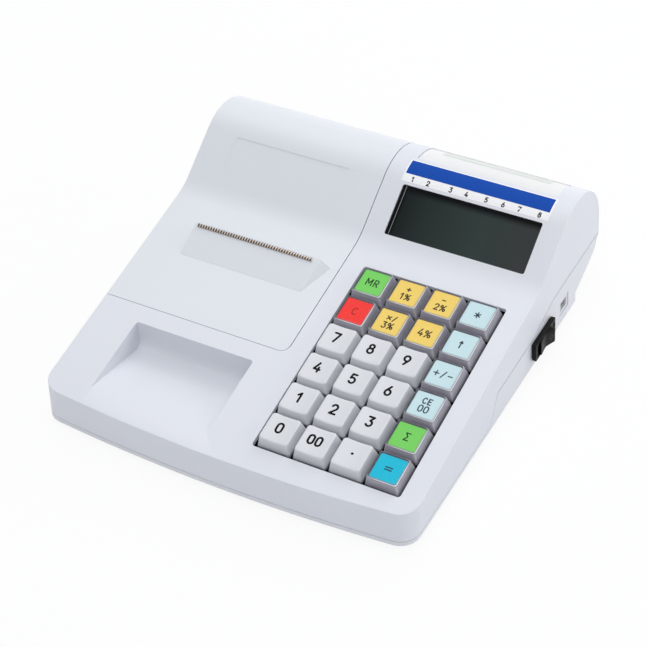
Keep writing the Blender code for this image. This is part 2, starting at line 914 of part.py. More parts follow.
def wedge_points(inset):
    """Corner places of the wedge on the cover, in deck terms."""
    low = left + wedge_margin_left
    high = seam - wedge_margin_right
    far = wedge_start + wedge_length
    points = []
    for x, side, flare in ((low, -1, wedge_flare_left), (high, 1, wedge_flare)):
        points.append((x - side * inset, wedge_start + inset, wedge_toe - inset))
        points.append((x - side * inset, far - inset, wedge_rise - inset))
        points.append((x + side * (flare - inset), far - inset, 0))
        points.append((x - side * inset, wedge_start + wedge_toe + inset, -wall / 2))
        points.append((x + side * (flare - inset), far - inset, -wall / 2))
    return points


def wedge_solid(name, inset):
    """The wedge as the hull round its corners."""
    bm = bmesh.new()
    for x, along, height in wedge_points(inset):
        bm.verts.new(deck_frame(x, along, height).translation)
    bmesh.ops.convex_hull(bm, input=bm.verts)
    bmesh.ops.dissolve_limit(bm, angle_limit=math.radians(1), verts=bm.verts, edges=bm.edges)
    return add_object(name, mesh_from(bm, name))


def hinge_places():
    """X places of the two cover hinges."""
    return left + hinge_inset, seam - hinge_inset


def hinge_rod(name, radius, start, end, sides):
    """A rod on the hinge axis."""
    return rod(name, radius, (start, hinge_y, hinge_z), (end, hinge_y, hinge_z), sides)


def knuckle_spans(x):
    """The cover's knuckle and the housing's two, at one hinge."""
    half = hinge_knuckle / 2
    near = half + 2 * gap
    far = near + hinge_knuckle
    return (x - half, x + half), [(x - far, x - near), (x + near, x + far)]


def make_cover(body, core, zone, look):
    """The lid over the printer and the paper."""
    cover = copy_of(body, "printer_cover")
    keep(cover, zone)
    cut(cover, core)
    cover = bake(cover)
    rib_start = seam - wall / 2 - cover_lip_thickness
    rib = skin_band("rib", wall / 2, wall + cover_lip_depth, rib_start, rib_start + cover_lip_thickness)
    keep(rib, cover_zone("rib_zone", -wall))
    join(cover, bake(rib))
    lip = -(wall / 2 + cover_lip_depth / 2)
    join(cover, box("front_lip", (seam - left - 2 * wall - cover_corner_radius, cover_lip_thickness,
                                  wall / 2 + cover_lip_depth),
                    deck_frame((left + seam) / 2 - cover_corner_radius / 2, cover_start + wall, lip)))
    join(cover, wedge_solid("wedge", 0))
    far = wedge_start + wedge_length + gap
    slot_width = seam - left - wedge_margin_left - wedge_margin_right - 2 * slot_margin
    middle = (left + wedge_margin_left + seam - wedge_margin_right) / 2
    cut(cover, box("slot", (slot_width, slot_depth, 4 * wall), deck_frame(middle, far + slot_depth / 2)))
    seat = rounded_rectangle(label_seat_width, label_seat_length, label_seat_radius)
    seat_x = left + label_seat_margin + label_seat_width / 2
    cut(cover, slab("label_seat", seat, 2 * label_seat_depth,
                    face_frame(seat_x, label_seat_start + label_seat_length / 2)))
    for x in hinge_places():
        own, others = knuckle_spans(x)
        for start, end in others:
            cut(cover, hinge_rod("clear", hinge_radius + gap, start - gap, end + gap, 24))
        join(cover, hinge_rod("knuckle", hinge_radius, *own, 16))
        cut(cover, hinge_rod("bore", hinge_pin_radius + gap, own[0] - 1.5 * gap, own[1] + 1.5 * gap, 12))
    cover = bake(cover)
    steel = material("hinge_steel", 0.55, 0.56, 0.58, 0.35, 1.0)
    for x, name in zip(hinge_places(), ("hinge_pin_left", "hinge_pin_right")):
        spans = knuckle_spans(x)[1]
        finish(hinge_rod(name, hinge_pin_radius, spans[0][0], spans[1][1], 12), steel, math.radians(40))
    finish(cover, look, math.radians(22), (centre_x, hinge_y, hinge_z))


def make_tear_bar():
    """The serrated strip on the wedge's rear edge."""
    copper = material("tear_bar_steel", 0.62, 0.48, 0.38, 0.30, 1.0)
    width = seam - left - wedge_margin_left - wedge_margin_right - 2 * bar_margin
    middle = (left + wedge_margin_left + seam - wedge_margin_right) / 2
    teeth = round(width / tooth_pitch)
    pitch = width / teeth
    outline = [(-width / 2, 0), (width / 2, 0)]
    for tooth in range(teeth):
        edge = width / 2 - tooth * pitch
        outline.append((edge, bar_depth))
        outline.append((edge - pitch / 2, bar_depth + tooth_height))
    outline.append((-width / 2, bar_depth))
    slope = math.atan2(wedge_rise - wedge_toe, wedge_length)
    place = deck_frame(middle, wedge_start + wedge_length, wedge_rise) @ Matrix.Rotation(slope, 4, "X")
    place = place @ Matrix.Translation((0, -bar_depth - bar_setback, gap + bar_thickness / 2))
    finish(slab("tear_bar", outline, bar_thickness, place), copper)


# Upper housing


def tray_outline(amount):
    """The coin tray's side outline, grown by an amount."""
    far = tray_start + tray_length
    corners = [
        (tray_start - tray_depth * overrun / tray_length, overrun, 0),
        (tray_start, 0, 0),
        (far - tray_back_slant, -tray_depth, tray_radius),
        (far + tray_back_slant * overrun / tray_depth, overrun, 0),
    ]
    moved = rounded(grown(corners, amount), ARC_STEPS["edge"])
    return [on_deck(along, height) for along, height in moved]


def make_tray():
    """The pan under the coin tray, and the space that is cut from it."""
    start = left + tray_margin_left
    end = seam - tray_margin_right
    pan = side_slab("tray_pan", tray_outline(wall), start - wall, end + wall)
    below = box("under_deck", (body_width + 2 * overrun, 2 * body_depth, 2 * overrun),
                deck_frame(centre_x, tray_start, -overrun - wall / 2))
    keep(pan, below)
    space = side_slab("tray_space", tray_outline(0), start - wall, end + wall)
    rim = rounded_rectangle(end - start, tray_length + gap, tray_corner_radius)
    keep(space, slab("tray_rim", rim, 2 * overrun,
                     deck_frame((start + end) / 2, tray_start + tray_length / 2 + gap / 2)))
    return bake(pan), bake(space)


def skin_height(y):
    """Height of the deck's mid skin at a place along Y."""
    return deck_front.y + math.tan(deck_tilt) * (y - deck_front.x) - wall / 2


def front_bosses():
    """Places of the two front screw bosses."""
    y = front + boss_front
    middle = (seam - tray_margin_right + wall + key_left - key_plate_margin) / 2
    return [(left + boss_inset_x, y), (middle, y)]


def rear_bosses():
    """Places of the two rear screw bosses."""
    y = rear - boss_rear
    return [(left + boss_inset_x, y), (right - boss_inset_x, y)]


def bay_walls(fit, clear):
    """The walls of the housing round the printer bay, down to the floor and clear of the lower housing."""
    end = on_deck(cover_start, 0)[0] - 2 * gap
    start = end - bay_wall
    near = seam + 2 * gap
    far = near + bay_wall
    bottom = base + parting_rear_height + 2 * gap
    stop = rear - bay_wall_end
    corners = [(left, start, 0), (far, start, 0), (far, stop, 0), (near, stop, 0), (near, end, 0),
               (left, end, 0)]
    high = plan_slab("bay_high", [corner[:2] for corner in corners], bottom, crest.y)
    low = plan_slab("bay_low", [corner[:2] for corner in grown(corners, -gap)], base, bottom + wall)
    keep(high, fit)
    keep(low, clear)
    return bake(high), bake(low)


def make_upper(body, core, fit, clear, look):
    """The upper housing, with its deck, display face and crest."""
    upper = copy_of(body, "upper_housing")
    cut(upper, core, cover_zone("cover_room", gap))
    cut(upper, side_slab("under_parting", parting_outline(gap), left - overrun, right + overrun))
    upper = bake(upper)
    pan, space = make_tray()
    join(upper, pan, *bay_walls(fit, clear))
    for x, y in front_bosses():
        bottom = base + parting_front_height + gap
        join(upper, rod("boss", boss_radius, (x, y, bottom), (x, y, skin_height(y)), 12))
    for x, y in rear_bosses():
        bottom = base + parting_rear_height
        join(upper, rod("boss", boss_radius, (x, y, bottom), (x, y, base + rear_boss_top), 12))
    for x, along in post_places():
        frame = deck_frame(x, along)
        join(upper, rod("post", boss_hole_radius, frame @ Vector((0, 0, -wall / 2)),
                        frame @ Vector((0, 0, plate_height + gap)), 8))
    upper = bake(upper)
    cut(upper, space)
    middle = key_area_start + key_area_length / 2
    cut(upper, slab("key_opening", rounded_rectangle(key_area_width, key_area_length, key_corner_radius),
                    4 * wall, deck_frame(key_middle, middle)))
    width = key_area_width - 2 * display_margin
    display = rounded_rectangle(width, display_height, display_corner_radius)
    cut(upper, slab("display_opening", display, 4 * wall,
                    face_frame(key_middle, display_start + display_height / 2)))
    cut(upper, region_round_crest("customer_opening", customer_start, customer_end, *customer_span()))
    middle_z = base + inlet_bottom + inlet_height / 2
    inlet_x = right - inlet_margin_right
    cut(upper, box("inlet_opening", (inlet_width + 2 * gap, 4 * wall, inlet_height + 2 * gap),
                   Matrix.Translation((inlet_x, rear - wall, middle_z))))
    for x in hinge_places():
        own, others = knuckle_spans(x)
        cut(upper, hinge_rod("clear", hinge_radius + gap, own[0] - gap, own[1] + gap, 24))
        for start, end in others:
            join(upper, hinge_rod("knuckle", hinge_radius, start, end, 16))
            cut(upper, hinge_rod("bore", hinge_pin_radius + gap, start - 1.5 * gap, end + 1.5 * gap, 12))
    for x, y in front_bosses():
        start = base + parting_front_height
        cut(upper, rod("screw_hole", boss_hole_radius, (x, y, start), (x, y, skin_height(y) - wall), 8))
    finish(bake(upper), look, math.radians(22))


# Lower housing and what it carries


def board_standoffs():
    """Places of the standoffs under the main board."""
    low = key_left - main_board_inset
    high = low + main_board_width
    far = rear - main_board_rear
    near = far - main_board_depth
    inset = 2 * standoff_radius
    return [(x, y) for x in (low + inset, high - inset) for y in (near + inset, far - inset)]


def foot_places():
    """Names and places of the feet."""
    near = front + foot_front
    far = rear - foot_rear
    low = left + foot_inset_x
    high = right - foot_inset_x
    return [("foot_front_left", low, near), ("foot_front_right", high, near),
            ("foot_rear_left", low, far), ("foot_rear_right", high, far)]


def make_lower(body, core, look):
    """The lower housing, with its openings, bosses and standoffs."""
    lower = copy_of(body, "lower_housing")
    keep(lower, side_slab("under_line", parting_outline(0), left - overrun, right + overrun))
    cut(lower, core)
    lower = bake(lower)
    floor = base + wall
    for x, y in rear_bosses():
        top = base + parting_rear_height - gap
        join(lower, rod("boss", boss_radius, (x, y, base + tail_knee_height + wall / 2), (x, y, top), 12))
    for spots, height in ((board_standoffs(), standoff_height), (chassis_posts(), chassis_lift)):
        for x, y in spots:
            foot = (x, y, floor - wall / 2)
            join(lower, rod("standoff", standoff_radius, foot, (x, y, floor + height), 10))
    lower = bake(lower)
    middle_y = rear - switch_rear - switch_length / 2
    middle_z = base + switch_bottom + switch_height / 2
    opening = (4 * wall, switch_length - 2 * bezel_width, switch_height - 2 * bezel_width)
    cut(lower, box("switch_opening", opening, Matrix.Translation((right - wall, middle_y, middle_z))))
    jack_y = rear - jack_rear - jack_length / 2
    cut(lower, box("jack_opening", (4 * wall, jack_length + 2 * gap, jack_height + 2 * gap),
                   Matrix.Translation((right - wall, jack_y, base + jack_bottom + jack_height / 2))))
    for name, x, y in foot_places():
        under = (x, y, base - foot_seat)
        cut(lower, rod("foot_seat", foot_radius + gap, under, (x, y, base + foot_seat), 20))
    for x, y in front_bosses():
        under = (x, y, base - wall)
        cut(lower, rod("screw_hole", boss_hole_radius, under, (x, y, base + 2 * wall), 10))
        cut(lower, rod("screw_head", screw_head_radius, under, (x, y, base + screw_head_depth), 12))
    for x, y in rear_bosses():
        top = base + tail_knee_height + wall
        cut(lower, rod("screw_head", screw_head_radius, (x, y, base), (x, y, top), 12))
    finish(lower, look, math.radians(22))


def make_feet():
    """Four rubber feet in their seats."""
    rubber = material("foot_rubber", 0.03, 0.03, 0.03, 0.80)
    for name, x, y in foot_places():
        foot = rod(name, foot_radius, (x, y, 0), (x, y, base + foot_seat - gap), 20)
        bevel = foot.modifiers.new("edge", "BEVEL")
        bevel.width = foot_edge
        bevel.segments = 1
        bevel.limit_method = "ANGLE"
        bevel.angle_limit = math.radians(60)
        finish(foot, rubber, math.radians(40))


def make_main_board(green):
    """The main circuit board on its standoffs."""
    low = key_left - main_board_inset
    far = rear - main_board_rear
    bottom = base + wall + standoff_height + gap
    corner = (low + main_board_width, far, bottom + board_thickness)
    finish(world_box("main_board", (low, far - main_board_depth, bottom), corner), green)


def make_switch():
    """The power switch in the right wall: bezel with body, and rocker."""
    black = material("switch_black", 0.015, 0.015, 0.016, 0.35)
    middle_y = rear - switch_rear - switch_length / 2
    middle_z = base + switch_bottom + switch_height / 2
    inner_length = switch_length - 2 * bezel_width
    inner_height = switch_height - 2 * bezel_width
    switch = box("power_switch", (bezel_stand, switch_length, switch_height),
                 Matrix.Translation((right + gap + bezel_stand / 2, middle_y, middle_z)))
    body_reach = switch_body_depth + bezel_stand / 2 + gap
    body_middle = Vector((right + gap + bezel_stand / 2 - body_reach / 2, middle_y, middle_z))
    body_size = (body_reach, inner_length - 2 * gap, inner_height - 2 * gap)
    join(switch, box("switch_body", body_size, Matrix.Translation(body_middle)))
    switch = bake(switch)
    room = (rocker_depth + bezel_stand + overrun, body_size[1] - 2 * switch_body_wall,
            body_size[2] - 2 * switch_body_wall)
    room_x = right - rocker_depth - rocker_room_depth + room[0] / 2
    cut(switch, box("rocker_room", room, Matrix.Translation((room_x, middle_y, middle_z))))
    finish(switch, black)
    tall = room[2] - 2 * gap
    turn = Matrix.Rotation(rocker_tilt, 4, "Z")
    pivot = Vector((right - rocker_pivot_depth, middle_y, middle_z))
    rocker = slab("power_rocker", rocker_outline(), tall, Matrix.Translation(pivot) @ turn)
    finish(rocker, black, None, pivot)


def make_sockets():
    """The interface socket in the right wall and the power inlet at the back."""
    dark = material("socket_black", 0.03, 0.03, 0.032, 0.45)
    jack_y = rear - jack_rear - jack_length / 2
    jack_z = base + jack_bottom + jack_height / 2
    outer = right - gap
    jack = box("interface_jack", (jack_depth, jack_length, jack_height),
               Matrix.Translation((outer - jack_depth / 2, jack_y, jack_z)))
    hole = (2 * jack_hole_depth, jack_length - 2 * jack_hole_margin, jack_height - 2 * jack_hole_margin)
    cut(jack, box("jack_hole", hole, Matrix.Translation((outer, jack_y, jack_z))))
    finish(jack, dark)
    inlet_x = right - inlet_margin_right
    inlet_z = base + inlet_bottom + inlet_height / 2
    back = rear - gap
    inlet = box("power_inlet", (inlet_width, inlet_depth, inlet_height),
                Matrix.Translation((inlet_x, back - inlet_depth / 2, inlet_z)))
    cut(inlet, rod("inlet_hole", inlet_hole_radius, (inlet_x, back + wall, inlet_z),
                   (inlet_x, back - inlet_hole_depth, inlet_z), 16))
    inlet = bake(inlet)
    join(inlet, rod("inlet_pin", inlet_pin_radius, (inlet_x, back - inlet_hole_depth - wall, inlet_z),
                    (inlet_x, back - wall, inlet_z), 8))
    finish(inlet, dark)


# Printer mechanism


def paper_middle():
    """X place of the paper's middle."""
    return (left + wedge_margin_left + seam - wedge_margin_right) / 2


def platen_place():
    """Y and Z of the platen's axis, under the paper slot."""
    y, z = on_deck(wedge_start + wedge_length + slot_depth / 2, 0)
    return y + platen_rear, z - platen_drop


def roll_place():
    """Y and Z of the paper roll's axis."""
    return tuple(roll_centre)


def chassis_span():
    """Front and back ends of the chassis base."""
    return platen_place()[0] - chassis_front, rear - tail_length - wall - chassis_end


def chassis_posts():
    """Places of the posts under the chassis."""
    near, far = chassis_span()
    half = roll_width / 2 + chassis_margin - 2 * standoff_radius
    return [(paper_middle() + side * half, y) for side in (-1, 1)
            for y in (near + 2 * standoff_radius, far - 2 * standoff_radius)]


def make_chassis():
    """A sheet base with two cheeks that carry the platen and the spindle."""
    sheet = material("chassis_zinc", 0.60, 0.61, 0.62, 0.38, 1.0)
    near, far = chassis_span()
    bottom = base + wall + chassis_lift + gap
    platen_y, platen_z = platen_place()
    roll_y, roll_z = roll_place()
    half = roll_width / 2 + chassis_margin
    low = (paper_middle() - half - chassis_sheet / 2, near + gap, bottom + gap / 2)
    high = (paper_middle() + half + chassis_sheet / 2, far - gap, bottom + chassis_base)
    chassis = world_box("printer_chassis", low, high)
    top = platen_z + platen_shaft_radius + chassis_base
    arm_top = roll_z + arm_width / 3
    outline = [
        (near, bottom),
        (near, platen_z),
        (platen_y - platen_radius, top),
        (platen_y + platen_radius, top),
        (roll_y - arm_width / 2, arm_top),
        (roll_y + arm_width / 2, arm_top),
        (roll_y + arm_width / 2, roll_z - arm_width / 2),
        (far, bottom),
    ]
    for side in (-1, 1):
        x = paper_middle() + side * (half + chassis_sheet / 2)
        cheek = side_slab("cheek", outline, x - chassis_sheet / 2, x + chassis_sheet / 2)
        join(chassis, cheek)
    chassis = bake(chassis)
    for y, z in (platen_place(), roll_place()):
        reach = half + 2 * chassis_sheet
        cut(chassis, rod("shaft_hole", platen_shaft_radius + gap, (paper_middle() - reach, y, z),
                         (paper_middle() + reach, y, z), 16))
    finish(chassis, sheet)


def turned_on_shaft(name, radius, width, place, sides, shaft_reach):
    """A roller with a shaft through it, along X."""
    y, z = place
    x = paper_middle()
    roller = rod(name, radius, (x - width / 2, y, z), (x + width / 2, y, z), sides)
    ends = (x - shaft_reach, y, z), (x + shaft_reach, y, z)
    join(roller, rod(name + "_shaft", platen_shaft_radius, *ends, 12))
    return roller


def make_printer():
    """What the chassis carries: platen, print head, motor, gearbox, spindle and paper roll."""
    rubber = material("platen_rubber", 0.04, 0.04, 0.045, 0.70)
    steel = material("motor_steel", 0.50, 0.51, 0.53, 0.40, 1.0)
    dark = material("plastic_dark", 0.05, 0.05, 0.055, 0.50)
    paper = material("paper", 0.86, 0.86, 0.84, 0.80)
    half = roll_width / 2 + chassis_margin
    between = 2 * half - 4 * gap
    reach = half + chassis_sheet + gap
    platen_y, platen_z = platen_place()
    roll_y, roll_z = roll_place()
    platen = turned_on_shaft("platen_roller", platen_radius, between, (platen_y, platen_z), 20, reach)
    finish(platen, rubber, math.radians(40), (paper_middle(), platen_y, platen_z))
    spindle = turned_on_shaft("paper_spindle", spindle_radius, between, (roll_y, roll_z), 24, reach)
    finish(spindle, dark, math.radians(40))
    x = paper_middle()
    ends = (x - roll_width / 2, roll_y, roll_z), (x + roll_width / 2, roll_y, roll_z)
    roll = rod("paper_roll", roll_radius, *ends, 40)
    core_ends = (x - roll_width, roll_y, roll_z), (x + roll_width, roll_y, roll_z)
    cut(roll, rod("core", spindle_radius + gap, *core_ends, 24))
    finish(roll, paper, math.radians(40), (x, roll_y, roll_z))
    head_y = platen_y + platen_radius + gap
    head_corner = (x + half - gap, head_y + head_thickness, platen_z)
    finish(world_box("print_head", (x - half + gap, head_y, platen_z - head_height), head_corner), dark)
    near = chassis_span()[0]
    motor_z = base + wall + chassis_lift + chassis_base + 2 * gap + motor_radius
    motor_y = near + motor_radius + chassis_base
    motor_end = x + half - gap
    motor = rod("feed_motor", motor_radius, (motor_end - motor_length, motor_y, motor_z),
                (motor_end, motor_y, motor_z), 20)
    finish(motor, steel, math.radians(40))
    outer = x + half + chassis_sheet + gap
    low = (outer, motor_y - motor_radius / 2, motor_z - motor_radius / 2)
    high = (outer + gearbox_thickness, platen_y + platen_shaft_radius, motor_z + gearbox_height)
    finish(world_box("gearbox", low, high), dark)


# Build

white = material("housing_white", 0.78, 0.80, 0.84, 0.42)
cover_white = material("cover_white", 0.80, 0.82, 0.86, 0.40)
base_white = material("base_white", 0.74, 0.76, 0.80, 0.45)
body = body_solid("body", 0, base, True)
core = body_solid("core", wall, base + wall)
core_open = body_solid("core_open", wall, base - overrun)
core_fit = body_solid("core_fit", wall / 2, base + wall)
core_clear = body_solid("core_clear", wall + gap, base + wall + gap)
make_upper(body, core_open, core_fit, core_clear, white)
make_cover(body, core, cover_zone("cover_space", 0), cover_white)
make_tear_bar()
make_lower(body, core, base_white)
make_feet()
board_look = make_key_base()
make_keys()
make_displays()
make_switch()
make_sockets()
make_main_board(board_look)
make_chassis()
make_printer()
for mesh in [mesh for mesh in bpy.data.meshes if mesh.users == 0]:
    bpy.data.meshes.remove(mesh)
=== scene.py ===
import json
import math

import bmesh
import bpy
import numpy as np
from mathutils import Matrix, Vector


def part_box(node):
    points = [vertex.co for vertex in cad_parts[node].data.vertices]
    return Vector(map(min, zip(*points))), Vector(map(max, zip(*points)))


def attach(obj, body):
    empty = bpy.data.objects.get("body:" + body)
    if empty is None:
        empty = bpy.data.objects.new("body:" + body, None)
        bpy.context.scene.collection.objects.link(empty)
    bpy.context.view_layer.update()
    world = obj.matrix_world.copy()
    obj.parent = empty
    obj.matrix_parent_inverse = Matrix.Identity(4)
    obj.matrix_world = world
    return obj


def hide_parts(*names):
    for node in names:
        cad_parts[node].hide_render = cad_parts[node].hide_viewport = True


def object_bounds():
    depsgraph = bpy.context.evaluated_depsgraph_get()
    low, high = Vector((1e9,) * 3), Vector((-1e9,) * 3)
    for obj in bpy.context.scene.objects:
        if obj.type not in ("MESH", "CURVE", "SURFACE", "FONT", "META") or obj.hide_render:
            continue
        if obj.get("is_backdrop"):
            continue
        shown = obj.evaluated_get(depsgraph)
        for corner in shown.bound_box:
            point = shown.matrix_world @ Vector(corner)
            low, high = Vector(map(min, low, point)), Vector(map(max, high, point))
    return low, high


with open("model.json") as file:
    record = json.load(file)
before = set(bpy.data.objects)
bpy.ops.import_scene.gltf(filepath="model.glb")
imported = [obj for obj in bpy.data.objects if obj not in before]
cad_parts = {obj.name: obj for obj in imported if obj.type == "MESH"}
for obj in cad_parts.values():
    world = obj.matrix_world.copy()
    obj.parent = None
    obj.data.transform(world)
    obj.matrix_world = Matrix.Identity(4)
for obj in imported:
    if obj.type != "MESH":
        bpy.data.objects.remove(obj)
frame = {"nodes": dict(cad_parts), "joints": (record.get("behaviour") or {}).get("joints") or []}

cad_box = [list(corner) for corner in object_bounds()]

# Camera
# The register was photographed from in front, above and to its right, with a long lens. The place
# comes from a fit to the keys' even pitch and to the edges of the body.


def placed(name, data):
    """An object at the origin that shows a mesh, a lamp or a camera."""
    made = bpy.data.objects.new(name, data)
    bpy.context.scene.collection.objects.link(made)
    return made


housing_low, housing_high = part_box("lower_housing")
camera_spot = ((housing_low.x + housing_high.x) / 2 + 0.3808, -0.57885, 0.6559)
yaw, pitch, roll = math.radians(33.36), math.radians(42.74), math.radians(-6.22)
side = Vector((math.cos(yaw), math.sin(yaw), 0))
ahead = Vector((-math.sin(yaw) * math.cos(pitch), math.cos(yaw) * math.cos(pitch), -math.sin(pitch)))
above = side.cross(ahead)
camera_side = side * math.cos(roll) + above * math.sin(roll)
camera_up = above * math.cos(roll) - side * math.sin(roll)
camera_data = bpy.data.cameras.new("camera")
camera_data.lens = 104.24
camera_data.sensor_width = 36
camera_data.clip_start = 0.05
camera = placed("camera", camera_data)
camera.matrix_world = Matrix.Translation(camera_spot) @ Matrix(
    (camera_side, camera_up, -ahead)).transposed().to_4x4()
bpy.context.scene.camera = camera
bpy.context.scene.view_settings.view_transform = "Standard"

# Table and light
# The object stands on a white sweep under large soft lamps overhead, one behind it that lights the
# crest, and weaker ones round it. The sweep shows white and still takes a shadow.


def linear(colour):
    """An sRGB hex colour as linear red, green, blue and a full alpha."""
    parts = [int(colour[i:i + 2], 16) / 255 for i in (1, 3, 5)]
    return tuple(c / 12.92 if c <= 0.04045 else ((c + 0.055) / 1.055) ** 2.4 for c in parts) + (1.0,)


def add(tree, kind, settings=None):
    """Adds a node. A setting is a property or a socket: another node's output is linked to it, and a
    hex colour is made linear."""
    made = tree.nodes.new("ShaderNode" + kind)
    for name, value in (settings or {}).items():
        if isinstance(name, str) and hasattr(made, name):
            setattr(made, name, value)
        elif isinstance(value, bpy.types.NodeSocket):
            tree.links.new(value, made.inputs[name])
        else:
            made.inputs[name].default_value = linear(value) if isinstance(value, str) else value
    return made


def maths(tree, kind, first, second=0.5):
    """One step of arithmetic on a node's output, with another output or a number."""
    return add(tree, "Math", {"operation": kind, 0: first, 1: second}).outputs[0]


def new_material(name):
    """An empty node material, its nodes and the object's own coordinates."""
    made = bpy.data.materials.new(name)
    made.use_nodes = True
    tree = made.node_tree
    tree.nodes.clear()
    return made, tree, add(tree, "TexCoord").outputs["Object"]


def grid_faces(rows, columns, closed):
    """Faces of a grid of points, row by row; a closed grid joins its last column to its first."""
    row = np.arange(rows - 1)[:, None] * columns
    column = np.arange(columns if closed else columns - 1)[None, :]
    after = (column + 1) % columns
    return np.stack([row + column, row + after, row + columns + after, row + columns + column],
                    -1).reshape(-1, 4)


def mesh_piece(name, points, faces, smooth=True):
    """A mesh object at the origin from arrays of points and faces."""
    mesh = bpy.data.meshes.new(name)
    mesh.from_pydata(np.asarray(points, float).reshape(-1, 3), [], [list(face) for face in faces])
    mesh.validate()
    if smooth:
        mesh.shade_smooth()
    return placed(name, mesh)


# The sweep is a flat sheet that bends up behind: its height follows a quarter circle past the bend.
sweep_reach, sweep_bend, sweep_radius, sweep_columns, sweep_rows = 3, 1.4, 1.6, 41, 81
sweep_u, sweep_v = np.meshgrid(np.linspace(-sweep_reach, sweep_reach, sweep_columns),
                               np.linspace(-sweep_reach, sweep_reach, sweep_rows))
sweep_past = np.clip(sweep_v - sweep_bend, 0, sweep_radius - 0.01)
sweep_height = sweep_radius - np.sqrt(sweep_radius ** 2 - sweep_past ** 2)
sweep = mesh_piece("table", np.stack([sweep_u, sweep_v, sweep_height], -1),
                   grid_faces(sweep_rows, sweep_columns, False))
table_white, tree, _ = new_material("table_white")
seen = add(tree, "LightPath").outputs
direct = maths(tree, "MAXIMUM", seen["Is Camera Ray"], seen["Is Glossy Ray"])
direct = maths(tree, "MAXIMUM", direct, seen["Is Transmission Ray"])
share = maths(tree, "MULTIPLY", direct, 0.90)
matt = add(tree, "BsdfDiffuse", {"Color": "#F2F3F5"})
glow = add(tree, "Emission", {"Color": "#FFFFFF", "Strength": 1.0})
mixed = add(tree, "MixShader", {0: share, 1: matt.outputs[0], 2: glow.outputs[0]})
add(tree, "OutputMaterial", {"Surface": mixed.outputs[0]})
sweep.data.materials.append(table_white)
sweep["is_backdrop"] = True

world = bpy.data.worlds.new("studio")
bpy.context.scene.world = world
world.use_nodes = True
tree = world.node_tree
tree.nodes.clear()
seen = add(tree, "LightPath").outputs
bright = add(tree, "Background", {"Color": "#FFFFFF", "Strength": 1.0})
soft = add(tree, "Background", {"Color": "#F4F6FA", "Strength": 0.38})
mixed = add(tree, "MixShader", {0: seen["Is Camera Ray"], 1: soft.outputs[0], 2: bright.outputs[0]})
add(tree, "OutputWorld", {"Surface": mixed.outputs[0]})
for name, place, size, power in (
        ("lamp_overhead", (0.0, 0.1, 1.9), 1.2, 7.5), ("lamp_above", (0.2, -0.6, 1.75), 1.2, 4.8),
        ("lamp_back_left", (-0.6, 0.85, 1.45), 1.1, 3.7), ("lamp_back", (0.35, 1.45, 1.0), 1.1, 9.5),
        ("lamp_front", (0.4, -1.7, 0.9), 1.2, 4.0), ("lamp_right", (1.6, 0.6, 0.6), 1.0, 5.9),
        ("lamp_left", (-1.7, 0.1, 0.9), 1.0, 1.5)):
    lamp_data = bpy.data.lights.new(name, "AREA")
    lamp_data.shape = "DISK"
    lamp_data.size = size
    lamp_data.energy = power
    turn = (-Vector(place)).to_track_quat("-Z", "Y").to_matrix().to_4x4()
    placed(name, lamp_data).matrix_world = Matrix.Translation(place) @ turn

# Housing
# Upper housing, printer cover and lower housing are injection moulded from ABS, about 2.5 mm thick.
# Their outside has a fine even grain from the mould, and every edge is broken by a small radius.


def noise(tree, where, scale, detail, roughness=0.5):
    """Cloudy noise from 0 to 1, with about this many clouds in a metre."""
    return add(tree, "TexNoise", {"Vector": where, "Scale": scale, "Detail": detail,
                                  "Roughness": roughness}).outputs["Fac"]


def blended(tree, share, first, second):
    """A colour between two, each a hex colour or a node's output."""
    return add(tree, "Mix", {"data_type": "RGBA", 0: share, 6: first, 7: second}).outputs[2]


def spread(tree, value, low, high, start=0.0, end=1.0):
    """Lays the span from low to high over the span from start to end, and holds it past both."""
    return add(tree, "MapRange", {"Value": value, "From Min": low, "From Max": high,
                                  "To Min": start, "To Max": end}).outputs[0]


def bumped(tree, height, strength, depth):
    """A bump that stands depth metres high where its height is 1, at full strength."""
    return add(tree, "Bump", {"Height": height, "Strength": strength, "Distance": depth}).outputs[0]


def surfaced(made, settings):
    """Ends a material in one principled shader with these values and links."""
    skin = add(made.node_tree, "BsdfPrincipled", settings)
    add(made.node_tree, "OutputMaterial", {"Surface": skin.outputs[0]})
    return made


def moulded_abs(name, colour, shade, roughness, grain=0.0009, depth=0.00003):
    """ABS from a spark-eroded mould: a fine grain in the bump, and faint clouds in colour and gloss."""
    made, tree, where = new_material(name)
    cloud = noise(tree, where, 14.0, 3.0, 0.55)
    fine = noise(tree, where, 1 / grain, 2.0, 0.6)
    return surfaced(made, {
        "IOR": 1.53, "Base Color": blended(tree, cloud, colour, shade),
        "Roughness": spread(tree, cloud, 0.3, 0.7, roughness - 0.05, roughness + 0.07),
        "Normal": bumped(tree, fine, 0.35, depth)})


def merged_copy(node, name, edge, sharp):
    """A piece with a node's shape: its triangles merged, its flat areas whole and its edges broken."""
    shell = bmesh.new()
    shell.from_mesh(frame["nodes"][node].data)
    bmesh.ops.remove_doubles(shell, verts=shell.verts, dist=0.000004)
    bmesh.ops.dissolve_limit(shell, angle_limit=math.radians(0.35), verts=shell.verts, edges=shell.edges)
    bmesh.ops.triangulate(shell, faces=[face for face in shell.faces if len(face.verts) > 4])
    mesh = bpy.data.meshes.new(name)
    shell.to_mesh(mesh)
    shell.free()
    mesh.shade_smooth()
    mesh.set_sharp_from_angle(angle=math.radians(sharp))
    piece = placed(name, mesh)
    bevel = piece.modifiers.new("broken_edge", "BEVEL")
    bevel.width = edge
    bevel.segments = 2
    bevel.limit_method = "ANGLE"
    bevel.angle_limit = math.radians(sharp)
    bevel.miter_outer = "MITER_ARC"
    weighted = piece.modifiers.new("even_shading", "WEIGHTED_NORMAL")
    weighted.keep_sharp = True
    weighted.weight = 80
    return piece


